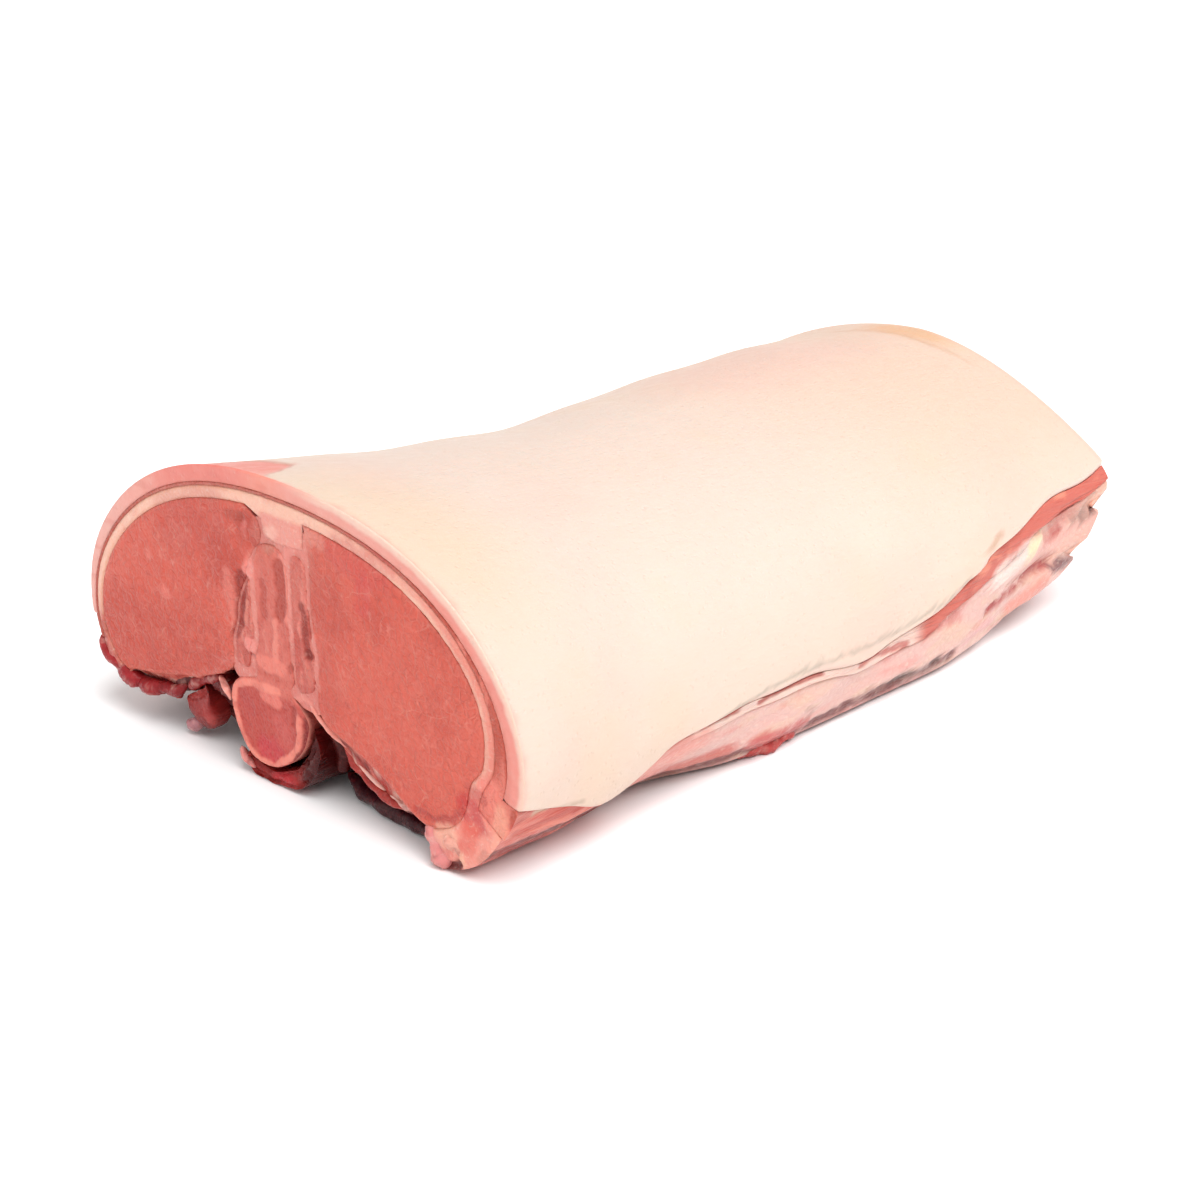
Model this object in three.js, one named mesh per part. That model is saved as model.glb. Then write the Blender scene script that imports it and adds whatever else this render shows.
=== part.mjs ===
// A double pork loin on the bone: both loins still joined at the backbone, rind on.
// Millimetres, +Z up. The joint lies along Y, its front cut face looks along -Y,
// and its ridge runs over the backbone. The origin is the middle of its footprint.
import * as THREE from 'three';

// Whole joint
const LENGTH = 360;
const LAYER_GAP = 0.4;
const EDGE_GAP = 1.2;
const STATIONS = 18;
const STATION_CROWDING = 1.3;
const BONE_STATIONS = 30;
const CRUS_STATIONS = 10;
const HANGING_STATIONS = 8;
const BACK_SLANT = 17;
const FLANK_SET_BACK = 30;
const FLANK_SLANT_HEIGHT = 60;
const FLANK_FROM_MIDDLE = 80;
const NOTCH_DEPTH = 9;
const NOTCH_PITCH = 17.5;
const NOTCH_TOP = 44;
const NOTCH_FADE = 9;
const LEFT_BACK_SLANT = 6;
const SLANT_WIDTH = 100;

// The arch over the backbone, at even stations from the front cut to the back cut
const RIDGE_HEIGHT = [112, 98, 92, 94, 91];
const RIDGE_X = 3;
const FOOTPRINT_MIDDLE = 5;

// One side of the arch: how wide it bulges and how high, where it stands, and how
// high above the table the lower edges of its skin and of its lean seam lie
const RIGHT = {
  sign: 1,
  roundness: [2.1, 2.1, 2.1, 2, 1.58],
  halfWidth: [115, 109, 110, 112, 112],
  bulgeHeight: [44, 36, 34, 38, 50],
  foot: [74, 81, 75, 88, 92, 95, 97, 93, 88],
  footLift: [0, 0, 0, 0, 8],
  flankPower: [1, 1, 1, 0.7, 0.6, 0.6, 0.6, 0.65, 0.7],
  gridTrend: [1.22, 1.1, 1.08, 0.95, 0.7],
  skinEdge: [32, 21, 15, 26.5, 28, 26.5, 26, 24, 29, 40, 49.5, 55, 58.5],
  seamEdge: [19, 13, 9, 23, 24.5, 23, 22.5, 20, 22, 31, 40, 48, 53.5],
};
const LEFT = {
  sign: -1,
  roundness: [2.05, 1.9, 1.85, 1.85, 1.8],
  halfWidth: [105, 101, 98, 101, 98],
  bulgeHeight: [44, 37, 35, 38, 48],
  foot: [86, 84, 82, 84, 86, 87, 87, 85, 84],
  footLift: [13, 2, 0, 0, 0],
  flankPower: [1, 1, 1, 0.8, 0.7, 0.7, 0.7, 0.7, 0.7],
  gridTrend: [1.16, 1.1, 1.08, 0.97, 0.8],
  skinEdge: [36, 30, 29, 30, 31, 34, 46, 56, 60],
  seamEdge: [27, 24, 22, 21, 21, 24, 34, 43, 48],
};

// Layer thicknesses from the ridge (first) round the side to the foot (last)
const FAT_THICKNESS = [6, 6, 6.2, 6.8, 7.5, 8.5, 7.5, 5, 3.5];
const SEAM_THICKNESS = [1.3, 1.3, 1.6, 2.6, 5.5, 7.5, 4.5, 3, 2.5];
const INNER_FAT_THICKNESS = [4.3, 4.2, 4.2, 4.2, 4.6, 5, 5.5, 7, 7];
const LEFT_FRONT_FAT = [6, 5.8, 5.2, 4.2, 2.6, 2, 2, 2, 2];
const LEFT_FRONT_SEAM = [1.3, 1.3, 1.3, 1.3, 1.4, 1.5, 1.6, 1.6, 1.6];
const LEFT_FRONT_INNER_FAT = [4.3, 4.2, 4, 3.6, 3, 3, 3, 3, 3];
const LEFT_THIN_LENGTH = 0.4;
const SEAM_STEP = 1.5;
const INNER_FAT_STEP = 2.5;

// How finely one side of the arch is divided down to the skin's edge, across the
// seam's edge, and on to the foot, and where along it the loin eye starts and ends
const SKIN_STEPS = 12;
const SEAM_STEPS = 2;
const FLAP_STEPS = 6;
const KEEL_REACH = 16;
const GRID_PULL = 4;
const RUN_REACH = 0.22;
const ROUND_STEP = 0.001;

// Outlines on the front cut face, as [x, z] points. The first ones of each eye are
// its lower rim, and loose tissue hangs lower than that a little way behind the cut
const EYE_INSIDE_RIGHT = [
  [68, 13.8], [63, 16], [54, 21.5], [44, 26], [34, 29.5], [26, 32], [21, 37],
  [21, 46], [22, 55], [20, 65], [19.5, 76], [19.8, 88],
];
const EYE_HANGING_RIGHT = [[68, 13.4], [61, 13], [51, 12], [42, 12], [33, 14.5], [26, 21], [21.5, 34]];
const EYE_INSIDE_LEFT = [
  [-83, 20.5], [-77, 21.5], [-69, 23], [-58, 26], [-48, 28], [-39, 31], [-30, 35], [-23, 40],
  [-22.5, 50], [-20, 57], [-18, 66], [-12.5, 76], [-9, 84], [-4, 90], [-5, 96],
];
const EYE_HANGING_LEFT = [[-84, 18], [-77, 14.5], [-69, 15], [-60, 18], [-49, 24.5], [-39, 30]];
const HANG_LENGTH = 0.023;

// Behind the front the eyes draw away from the flaps, from this share of a flap down
const DRAWN_FROM = 0.35;
const DRAWN_MOST = 0.9;
const DRAWN_LENGTH = 0.12;
const KEEL = [[17, 91.4], [8, 90.4], [-1.6, 91.4], [-3.2, 97]];
const SPINE_LEAN_RIGHT = [
  [10.5, 42], [15, 41], [19.5, 44], [20.5, 55], [18.6, 65],
  [18, 76], [18, 86], [11, 88], [10, 76], [10, 60],
];
const SPINE_LEAN_LEFT = [
  [-20.5, 42], [-15, 41.5], [-13.5, 46], [-11, 55], [-11, 66],
  [-11.5, 74], [-16.5, 66], [-18.6, 57], [-20.8, 50],
];
const BONE = [
  [-12, 7.5], [-4, 7.8], [4, 12], [10, 18], [13, 24], [14, 30], [10, 35], [7, 38.5], [9, 44], [7.5, 52],
  [8, 65], [8.5, 80], [6, 87.5], [0, 89], [-6, 87], [-9, 80], [-9, 66], [-8.5, 54], [-11, 46], [-11, 39.5],
  [-19, 36.5], [-23.5, 32], [-24.5, 26], [-22, 17], [-17, 10],
];
const CRUS_TOP = [
  [-20.5, 8.8], [-12.5, 6.2], [-3.8, 6.6], [5.4, 10.6], [11.9, 16.8], [15.1, 23.4], [16.1, 29.4],
];
const CRUS_UNDERSIDE = [
  [18, 29], [18.8, 20], [16.5, 11], [12, 5], [6, 1], [1, 0], [-13, 0], [-18, 1], [-22, 4.5],
];
const HANGING_TOP = [[-56, 18], [-52, 20], [-48, 22.6], [-43.5, 25.6]];
const HANGING_UNDERSIDE = [[-42.5, 17], [-43.5, 10], [-46, 6], [-50, 4.5], [-54, 5.5], [-56.5, 9], [-57, 14]];
const SPINE_HALF = 25;
const VERTEBRA_LENGTH = 36;
const VERTEBRA_SWELL = 0.05;
const BODY_TOP = 37;
const BODY_MIDDLE = -5;
const CRUS_SPAN = [0.003, 0.5];
const HANGING_SPAN = [0.008, 0.045];
const ROUNDED_END = 0.35;
const THIN_END = 0.3;

// Gentle unevenness of the whole outside
const SWELL = 1.1;
const SWELL_ENDS = 1.75;
const SWELL_FADE = 0.4;
const SWELL_RATE = 6;
const SWELL_WAVES = [[3.1, 2.3, 0.4], [5.3, 4.1, 2.1], [8.7, 6.2, 4.4]];
const EDGE_RAGGED = 1.6;
const EDGE_WAVES = [[17, 0.3], [29, 1.9], [47, 4.2]];

const SKIN = { color: 0xf9dfc9, roughness: 0.45 };
const FAT = { color: 0xf6c3ab, roughness: 0.4 };
const LEAN = { color: 0xd5776b, roughness: 0.4 };
const DARK_LEAN = { color: 0xa8453c, roughness: 0.35 };
const CUT_BONE = { color: 0xe2a08f, roughness: 0.5 };

const smooth = (t) => {
  const c = THREE.MathUtils.clamp(t, 0, 1);
  return c * c * (3 - 2 * c);
};

// A smooth curve through evenly spaced values, read at t from 0 to 1
function along(values, t) {
  const last = values.length - 1;
  const u = THREE.MathUtils.clamp(t, 0, 1) * last;
  const i = Math.min(Math.floor(u), last - 1);
  const f = u - i;
  const before = i > 0 ? values[i - 1] : 2 * values[0] - values[1];
  const after = i + 2 <= last ? values[i + 2] : 2 * values[last] - values[last - 1];
  const bend = 2 * before - 5 * values[i] + 4 * values[i + 1] - after;
  const twist = 3 * values[i] - before - 3 * values[i + 1] + after;
  return values[i] + 0.5 * f * (values[i + 1] - before + f * (bend + f * twist));
}

function waves(list, u, w) {
  return list.reduce((sum, [a, b, shift]) => sum + Math.sin(a * u + b * w + shift), 0) / list.length;
}

function raggedEdge(heights, v) {
  const wobble = EDGE_WAVES.reduce((sum, [rate, shift]) => sum + Math.sin(rate * v + shift), 0);
  return along(heights, v) + (EDGE_RAGGED * wobble) / EDGE_WAVES.length;
}

function footHeight(side, v) {
  return Math.max(along(side.footLift, v), 0);
}

// The outside of one side: q is 0 on the ridge, 1 at the widest point and 2 at the foot
function outside(side, q, v) {
  const half = along(side.halfWidth, v);
  const bulge = along(side.bulgeHeight, v);
  const power = 2 / along(side.roundness, v);
  if (q <= 1) {
    const turn = (q * Math.PI) / 2;
    const out = Math.sin(turn) ** power;
    const up = Math.max(Math.cos(turn), 0) ** power;
    return [RIDGE_X + (side.sign * half - RIDGE_X) * out, bulge + (along(RIDGE_HEIGHT, v) - bulge) * up];
  }
  const turn = ((q - 1) * Math.PI) / 2;
  const foot = along(side.foot, v);
  const lift = footHeight(side, v);
  const squarer = along(side.flankPower, v);
  const x = foot + (half - foot) * Math.max(Math.cos(turn), 0) ** squarer;
  return [side.sign * x, lift + (bulge - lift) * (1 - Math.sin(turn) ** squarer)];
}

// The inverse of the above: where on the side a height lies
function placeOfHeight(side, z, v) {
  const bulge = along(side.bulgeHeight, v);
  if (z > bulge) {
    const up = (z - bulge) / (along(RIDGE_HEIGHT, v) - bulge);
    return (Math.acos(up ** (along(side.roundness, v) / 2)) * 2) / Math.PI;
  }
  const lift = footHeight(side, v);
  const down = (1 - (z - lift) / (bulge - lift)) ** (1 / along(side.flankPower, v));
  return 1 + (Math.asin(down) * 2) / Math.PI;
}

// Where on the upper side a distance out from the ridge lies
function placeOfReach(side, reach, v) {
  const share = reach / (along(side.halfWidth, v) - side.sign * RIDGE_X);
  return (Math.asin(share ** (along(side.roundness, v) / 2)) * 2) / Math.PI;
}

// The point at a depth below the outside, square to its general run
function below(side, q, v, depth) {
  const [x0, z0] = outside(side, Math.max(q - RUN_REACH, 0), v);
  const [x1, z1] = outside(side, Math.min(q + RUN_REACH, 2), v);
  const [x, z] = outside(side, q, v);
  const run = Math.hypot(x1 - x0, z1 - z0);
  const fade = smooth((SWELL_ENDS - q) / SWELL_FADE);
  const inward = depth - SWELL * fade * waves(SWELL_WAVES, side.sign * q, SWELL_RATE * v);
  return [x + (side.sign * (z1 - z0) * inward) / run, z - (side.sign * (x1 - x0) * inward) / run];
}

function thickness(side, common, leftFront, q, v) {
  const full = along(common, q / 2);
  if (side.sign > 0) {
    return full;
  }
  return THREE.MathUtils.lerp(along(leftFront, q / 2), full, smooth(v / LEFT_THIN_LENGTH));
}

function fatDepth(side, q, v) {
  return thickness(side, FAT_THICKNESS, LEFT_FRONT_FAT, q, v);
}

function seamDepth(side, q, v) {
  return fatDepth(side, q, v) + thickness(side, SEAM_THICKNESS, LEFT_FRONT_SEAM, q, v);
}

function innerFatDepth(side, q, v) {
  return seamDepth(side, q, v) + thickness(side, INNER_FAT_THICKNESS, LEFT_FRONT_INNER_FAT, q, v);
}

function evenSteps(from, to, count) {
  return Array.from({ length: count + 1 }, (_, i) => from + ((to - from) * i) / count);
}

// Where the sections of the whole joint are taken, closer together towards the front cut
const JOINT_SHARES = evenSteps(0, 1, STATIONS).map((t) => t ** STATION_CROWDING);

// The places on a side that every layer shares, so that neighbours stay parallel
function divideSide(side, v) {
  const skinEnd = placeOfHeight(side, raggedEdge(side.skinEdge, v), v);
  const seamEnd = placeOfHeight(side, raggedEdge(side.seamEdge, v), v);
  const trend = along(side.gridTrend, v);
  const even = evenSteps(placeOfReach(side, KEEL_REACH, v), trend, SKIN_STEPS);
  const skin = [0, ...even.map((q, i) => q + (skinEnd - trend) * (i / SKIN_STEPS) ** GRID_PULL)];
  const seam = evenSteps(skinEnd, seamEnd, SEAM_STEPS);
  const flap = evenSteps(seamEnd, 2, FLAP_STEPS);
  return { skin, seam, flap, skinEnd, seamEnd };
}

// The place that lies a short way on round the outside
function furtherRound(side, q, v, distance) {
  const [x, z] = outside(side, q, v);
  let further = q;
  let gone = 0;
  while (gone < distance) {
    further += ROUND_STEP;
    const [nx, nz] = outside(side, further, v);
    gone = Math.hypot(nx - x, nz - z);
  }
  return further;
}

// A boundary between two layers that turns out to the surface where the upper one ends
function steppedEdge(side, v, places, depthOf, endsAt, beyond, stepDepth) {
  const start = furtherRound(side, endsAt, v, EDGE_GAP);
  const half = LAYER_GAP / 2;
  const under = places.map((q) => below(side, q === endsAt ? start : q, v, depthOf(side, q, v) + half));
  const corner = below(side, start, v, stepDepth(endsAt));
  const open = beyond.slice(1).map((q) => below(side, q, v, stepDepth(q)));
  return [...under, corner, ...open];
}

function skinHalf(side, v) {
  const { skin } = divideSide(side, v);
  const outer = skin.map((q) => below(side, q, v, 0));
  const inner = skin.map((q) => below(side, q, v, fatDepth(side, q, v) - LAYER_GAP / 2));
  return { outer, inner };
}

function seamHalf(side, v) {
  const { skin, seam, skinEnd } = divideSide(side, v);
  const outer = steppedEdge(side, v, skin, fatDepth, skinEnd, seam, () => SEAM_STEP);
  const covered = [...skin, ...seam.slice(1)];
  const inner = covered.map((q) => below(side, q, v, seamDepth(side, q, v) - LAYER_GAP / 2));
  return { outer, inner };
}

function innerFatHalf(side, v) {
  const { skin, seam, flap, seamEnd } = divideSide(side, v);
  const covered = [...skin, ...seam.slice(1)];
  const taper = (q) => (INNER_FAT_STEP * (2 - q)) / (2 - seamEnd);
  const outer = steppedEdge(side, v, covered, seamDepth, seamEnd, flap, taper);
  const inner = [...covered.slice(1), ...flap.slice(1)].map((q) =>
    below(side, q, v, innerFatDepth(side, q, v) - LAYER_GAP / 2),
  );
  return { outer, inner };
}

// A whole arch-shaped section: over the outside from left to right, back along the inside
function archSection(halfOf, v, keel = []) {
  const right = halfOf(RIGHT, v);
  const left = halfOf(LEFT, v);
  const leftInner = keel.length > 0 ? left.inner : left.inner.slice(1);
  return [
    ...left.outer.slice(1).reverse(),
    ...right.outer,
    ...right.inner.reverse(),
    ...keel,
    ...leftInner,
  ];
}

// How far out the lean reaches beyond the spine on one side
function leanReach(side, v) {
  return along(side.halfWidth, v) - innerFatDepth(side, 1, v) - SPINE_HALF;
}

// A point of the front cut face carried to another station, as the arch grows or sinks
function carried([x, z], v) {
  const side = x > 0 ? RIGHT : LEFT;
  const beyondSpine = Math.max(Math.abs(x) - SPINE_HALF, 0);
  const spread = beyondSpine * (leanReach(side, v) / leanReach(side, 0) - 1);
  const high = along(RIDGE_HEIGHT, v) / RIDGE_HEIGHT[0];
  return [x + side.sign * spread, z * high];
}

function between([x0, z0], [x1, z1], share) {
  return [x0 + (x1 - x0) * share, z0 + (z1 - z0) * share];
}

// An eye fills its side of the arch, close against the inner fat
function eyeSection(side, rim, hanging, v) {
  const { skin, seam, flap, seamEnd } = divideSide(side, v);
  const behind = smooth(v / HANG_LENGTH);
  const inside = rim.map((point, i) => carried(between(point, hanging[i] ?? point, behind), v));
  const start = placeOfReach(side, KEEL_REACH + LAYER_GAP, v);
  const places = [start, ...skin.slice(2), ...seam.slice(1), ...flap.slice(1)];
  const outer = places.map((q) => {
    const low = ((q - seamEnd) / (2 - seamEnd) - DRAWN_FROM) / (1 - DRAWN_FROM);
    const drawn = DRAWN_MOST * smooth(v / DRAWN_LENGTH) * Math.max(low, 0);
    const against = below(side, q, v, innerFatDepth(side, q, v) + LAYER_GAP / 2);
    return between(against, inside[0], drawn);
  });
  return [...outer, ...inside];
}

function boneSection(v) {
  const swell = VERTEBRA_SWELL * Math.cos((2 * Math.PI * v * LENGTH) / VERTEBRA_LENGTH);
  return BONE.map(([x, z]) => {
    const wider = z < BODY_TOP ? (x - BODY_MIDDLE) * swell : 0;
    return carried([x + wider, z], v);
  });
}

// The cut ends: square at the front; at the back the right flank is cut further forward,
// with notches that leave it hanging in fingers
function lengthwise(x, z, v) {
  const low = 1 - smooth(z / FLANK_SLANT_HEIGHT);
  const notch = Math.max(Math.cos((2 * Math.PI * (z - NOTCH_TOP)) / NOTCH_PITCH), 0) ** 2;
  const notched = NOTCH_DEPTH * notch * smooth((NOTCH_TOP + NOTCH_FADE - z) / NOTCH_FADE);
  const flank = smooth(x / FLANK_FROM_MIDDLE) * (FLANK_SET_BACK * low + notched);
  const slant = smooth(x / SLANT_WIDTH) * BACK_SLANT + smooth(-x / SLANT_WIDTH) * LEFT_BACK_SLANT;
  return -LENGTH / 2 + v * (LENGTH - slant - flank);
}

function ringArea(ring) {
  return ring.reduce((sum, [x, z], i) => {
    const [nx, nz] = ring[(i + 1) % ring.length];
    return sum + x * nz - nx * z;
  }, 0) / 2;
}

function turnOf([x, z]) {
  return Math.atan2(x, z - SPINE_HALF);
}

// Cuts a face of the side into two triangles, the same way on both walls of a gap
function splitQuad(a, b, count, falling) {
  if (falling) {
    return [a, a + count, b + count, a, b + count, b];
  }
  return [a, a + count, b, b, a + count, b + count];
}

function flatEnd(ring) {
  return THREE.ShapeUtils.triangulateShape(ring.map(([x, z]) => new THREE.Vector2(x, z)), []);
}

// Skins the sections at some shares of the length and closes both ends flat
function loft(sectionAt, shares = JOINT_SHARES) {
  const steps = shares.length - 1;
  const first = sectionAt(shares[0]);
  const turned = ringArea(first) < 0;
  const rings = shares.map((v) => (turned ? sectionAt(v).reverse() : sectionAt(v)));
  const count = first.length;
  const positions = [];
  rings.forEach((ring, i) => {
    ring.forEach(([x, z]) => positions.push(x, lengthwise(x, z, shares[i]), z));
  });
  const faces = [];
  for (let i = 0; i < steps; i += 1) {
    for (let j = 0; j < count; j += 1) {
      const a = i * count + j;
      const b = i * count + ((j + 1) % count);
      faces.push(...splitQuad(a, b, count, turnOf(rings[i][j]) > turnOf(rings[i][(j + 1) % count])));
    }
  }
  const last = steps * count;
  flatEnd(rings[0]).forEach(([a, b, c]) => faces.push(a, b, c));
  flatEnd(rings[steps]).forEach(([a, b, c]) => faces.push(last + a, last + c, last + b));
  const geometry = new THREE.BufferGeometry();
  geometry.setAttribute('position', new THREE.Float32BufferAttribute(positions, 3));
  geometry.setIndex(faces);
  geometry.computeVertexNormals();
  return geometry;
}

function heightOn(line, x) {
  const after = Math.max(line.findIndex(([px]) => px >= x), 1);
  const [x0, z0] = line[after - 1];
  const [x1, z1] = line[after];
  return THREE.MathUtils.lerp(z0, z1, THREE.MathUtils.clamp((x - x0) / (x1 - x0), 0, 1));
}

// A lobe that hangs below a line and thins out towards its far end, or both ends
function lobe(top, underside, [from, to], steps, bluntFront) {
  const section = (v) => {
    const share = (v - from) / (to - from);
    const nearest = bluntFront ? 1 - share : Math.min(share, 1 - share);
    const end = Math.min(nearest, ROUNDED_END) / ROUNDED_END;
    const size = THREE.MathUtils.lerp(THIN_END, 1, Math.sqrt(1 - (1 - end) ** 2));
    const hanging = underside.map(([x, z]) => {
      const root = heightOn(top, x);
      return [x, root + (z - root) * size];
    });
    return [...top, ...hanging].map((point) => carried(point, v));
  };
  return loft(section, evenSteps(from, to, steps));
}

function spineLean(outline) {
  return loft((v) => outline.map((point) => carried(point, v)));
}

// Sections are drawn about the backbone; the group moves to the middle of the footprint
const joint = new THREE.Group();
joint.position.x = -FOOTPRINT_MIDDLE;

function addPiece(name, geometry, finish) {
  const piece = new THREE.Mesh(geometry, new THREE.MeshStandardMaterial({ ...finish, metalness: 0 }));
  piece.name = name;
  joint.add(piece);
}

const keelAt = (v) => KEEL.map((point) => carried(point, v));
addPiece('rind_and_back_fat', loft((v) => archSection(skinHalf, v)), SKIN);
addPiece('lean_seam', loft((v) => archSection(seamHalf, v)), LEAN);
addPiece('inner_fat', loft((v) => archSection(innerFatHalf, v, keelAt(v))), FAT);
const eyeRight = loft((v) => eyeSection(RIGHT, EYE_INSIDE_RIGHT, EYE_HANGING_RIGHT, v));
addPiece('loin_eye_right', eyeRight, LEAN);
const eyeLeft = loft((v) => eyeSection(LEFT, EYE_INSIDE_LEFT, EYE_HANGING_LEFT, v));
addPiece('loin_eye_left', eyeLeft, LEAN);
addPiece('backbone', loft(boneSection, evenSteps(0, 1, BONE_STATIONS)), CUT_BONE);
addPiece('spine_lean_right', spineLean(SPINE_LEAN_RIGHT), DARK_LEAN);
addPiece('spine_lean_left', spineLean(SPINE_LEAN_LEFT), DARK_LEAN);
const crus = lobe(CRUS_TOP, CRUS_UNDERSIDE, CRUS_SPAN, CRUS_STATIONS, true);
addPiece('crus_lean', crus, DARK_LEAN);
const hanging = lobe(HANGING_TOP, HANGING_UNDERSIDE, HANGING_SPAN, HANGING_STATIONS, false);
addPiece('hanging_lean', hanging, DARK_LEAN);

export default joint;
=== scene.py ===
"""Looks of a raw double pork loin on the bone, rind on.

Lengths are millimetres, drawn about the backbone, until a mesh is made: x to the right seen from
the front cut, y along the backbone, z up. In a section, q is the place on one side of the arch
(0 on the ridge, 1 at the widest point, 2 at the foot) and v is the share of the length.
"""

import math
from types import SimpleNamespace

import bpy
import numpy as np
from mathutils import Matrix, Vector
from mathutils.geometry import delaunay_2d_cdt


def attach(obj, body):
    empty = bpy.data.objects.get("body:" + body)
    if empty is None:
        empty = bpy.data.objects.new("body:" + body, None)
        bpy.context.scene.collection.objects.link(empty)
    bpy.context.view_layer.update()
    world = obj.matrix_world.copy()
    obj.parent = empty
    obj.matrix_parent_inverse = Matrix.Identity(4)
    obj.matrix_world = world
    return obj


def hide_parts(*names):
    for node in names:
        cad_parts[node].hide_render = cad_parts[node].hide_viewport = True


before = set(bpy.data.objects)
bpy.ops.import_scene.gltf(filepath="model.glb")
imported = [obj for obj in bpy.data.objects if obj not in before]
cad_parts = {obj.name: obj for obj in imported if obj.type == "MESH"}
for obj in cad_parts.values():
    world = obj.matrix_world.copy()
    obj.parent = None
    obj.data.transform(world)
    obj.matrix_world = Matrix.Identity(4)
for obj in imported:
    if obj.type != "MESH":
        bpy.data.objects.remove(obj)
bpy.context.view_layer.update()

# ---- sizes shared with the solids

LENGTH = 360
FOOTPRINT_MIDDLE = 5
RIDGE_HEIGHT = [112, 98, 92, 94, 91]
RIDGE_X = 3
SPINE_HALF = 25

RIGHT = SimpleNamespace(
    sign=1,
    roundness=[2.1, 2.1, 2.1, 2, 1.58],
    half_width=[115, 109, 110, 112, 112],
    bulge_height=[44, 36, 34, 38, 50],
    foot=[74, 81, 75, 88, 92, 95, 97, 93, 88],
    foot_lift=[0, 0, 0, 0, 8],
    flank_power=[1, 1, 1, 0.7, 0.6, 0.6, 0.6, 0.65, 0.7],
    skin_edge=[32, 21, 15, 26.5, 28, 26.5, 26, 24, 29, 40, 49.5, 55, 58.5],
    seam_edge=[19, 13, 9, 23, 24.5, 23, 22.5, 20, 22, 31, 40, 48, 53.5],
)
LEFT = SimpleNamespace(
    sign=-1,
    roundness=[2.05, 1.9, 1.85, 1.85, 1.8],
    half_width=[105, 101, 98, 101, 98],
    bulge_height=[44, 37, 35, 38, 48],
    foot=[86, 84, 82, 84, 86, 87, 87, 85, 84],
    foot_lift=[13, 2, 0, 0, 0],
    flank_power=[1, 1, 1, 0.8, 0.7, 0.7, 0.7, 0.7, 0.7],
    skin_edge=[36, 30, 29, 30, 31, 34, 46, 56, 60],
    seam_edge=[27, 24, 22, 21, 21, 24, 34, 43, 48],
)

FAT_THICKNESS = [6, 6, 6.2, 6.8, 7.5, 8.5, 7.5, 5, 3.5]
SEAM_THICKNESS = [1.3, 1.3, 1.6, 2.6, 5.5, 7.5, 4.5, 3, 2.5]
INNER_FAT_THICKNESS = [4.3, 4.2, 4.2, 4.2, 4.6, 5, 5.5, 7, 7]
LEFT_FRONT_FAT = [6, 5.8, 5.2, 4.2, 2.6, 2, 2, 2, 2]
LEFT_FRONT_SEAM = [1.3, 1.3, 1.3, 1.3, 1.4, 1.5, 1.6, 1.6, 1.6]
LEFT_FRONT_INNER_FAT = [4.3, 4.2, 4, 3.6, 3, 3, 3, 3, 3]
LEFT_THIN_LENGTH = 0.4
SEAM_STEP = 1.5
INNER_FAT_STEP = 2.5
KEEL_REACH = 16
LAYER_GAP = 0.4
RUN_REACH = 0.22

EYE_INSIDE_RIGHT = [
    (68, 13.8), (63, 16), (54, 21.5), (44, 26), (34, 29.5), (26, 32), (21, 37),
    (21, 46), (22, 55), (20, 65), (19.5, 76), (19.8, 88),
]
EYE_HANGING_RIGHT = [(68, 13.4), (61, 13), (51, 12), (42, 12), (33, 14.5), (26, 21), (21.5, 34)]
EYE_INSIDE_LEFT = [
    (-83, 20.5), (-77, 21.5), (-69, 23), (-58, 26), (-48, 28), (-39, 31), (-30, 35), (-23, 40),
    (-22.5, 50), (-20, 57), (-18, 66), (-12.5, 76), (-9, 84), (-4, 90), (-5, 96),
]
EYE_HANGING_LEFT = [(-84, 18), (-77, 14.5), (-69, 15), (-60, 18), (-49, 24.5), (-39, 30)]
HANG_LENGTH = 0.023
DRAWN_FROM = 0.35
DRAWN_MOST = 0.9
DRAWN_LENGTH = 0.12
KEEL = [(17, 91.4), (8, 90.4), (-1.6, 91.4), (-3.2, 97)]
SPINE_LEAN_RIGHT = [
    (10.5, 42), (15, 41), (19.5, 44), (20.5, 55), (18.6, 65),
    (18, 76), (18, 86), (11, 88), (10, 76), (10, 60),
]
SPINE_LEAN_LEFT = [
    (-20.5, 42), (-15, 41.5), (-13.5, 46), (-11, 55), (-11, 66),
    (-11.5, 74), (-16.5, 66), (-18.6, 57), (-20.8, 50),
]
BONE = [
    (-12, 7.5), (-4, 7.8), (4, 12), (10, 18), (13, 24), (14, 30), (10, 35), (7, 38.5), (9, 44), (7.5, 52),
    (8, 65), (8.5, 80), (6, 87.5), (0, 89), (-6, 87), (-9, 80), (-9, 66), (-8.5, 54), (-11, 46), (-11, 39.5),
    (-19, 36.5), (-23.5, 32), (-24.5, 26), (-22, 17), (-17, 10),
]
BED = [
    (-22, 37), (-14, 36), (-8, 37), (8, 37), (14, 35), (22.5, 36), (23.5, 46), (24, 55), (22, 65), (21.5, 76),
    (22, 96), (17, 97.5), (8, 96), (-3, 98), (-8, 95), (-12, 86), (-14.5, 76), (-20, 66), (-22.5, 57),
    (-25, 48),
]
CRUS_TOP = [(-20.5, 8.8), (-12.5, 6.2), (-3.8, 6.6), (5.4, 10.6), (11.9, 16.8), (15.1, 23.4), (16.1, 29.4)]
CRUS_UNDERSIDE = [(18, 29), (18.8, 20), (16.5, 11), (12, 5), (6, 1), (1, 0), (-13, 0), (-18, 1), (-22, 4.5)]
HANGING_TOP = [(-56, 18), (-52, 20), (-48, 22.6), (-43.5, 25.6)]
HANGING_UNDERSIDE = [(-42.5, 17), (-43.5, 10), (-46, 6), (-50, 4.5), (-54, 5.5), (-56.5, 9), (-57, 14)]
VERTEBRA_LENGTH = 36
VERTEBRA_SWELL = 0.05
BODY_TOP = 37
BODY_MIDDLE = -5
CRUS_SPAN = (0.003, 0.5)
HANGING_SPAN = (0.008, 0.045)
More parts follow.
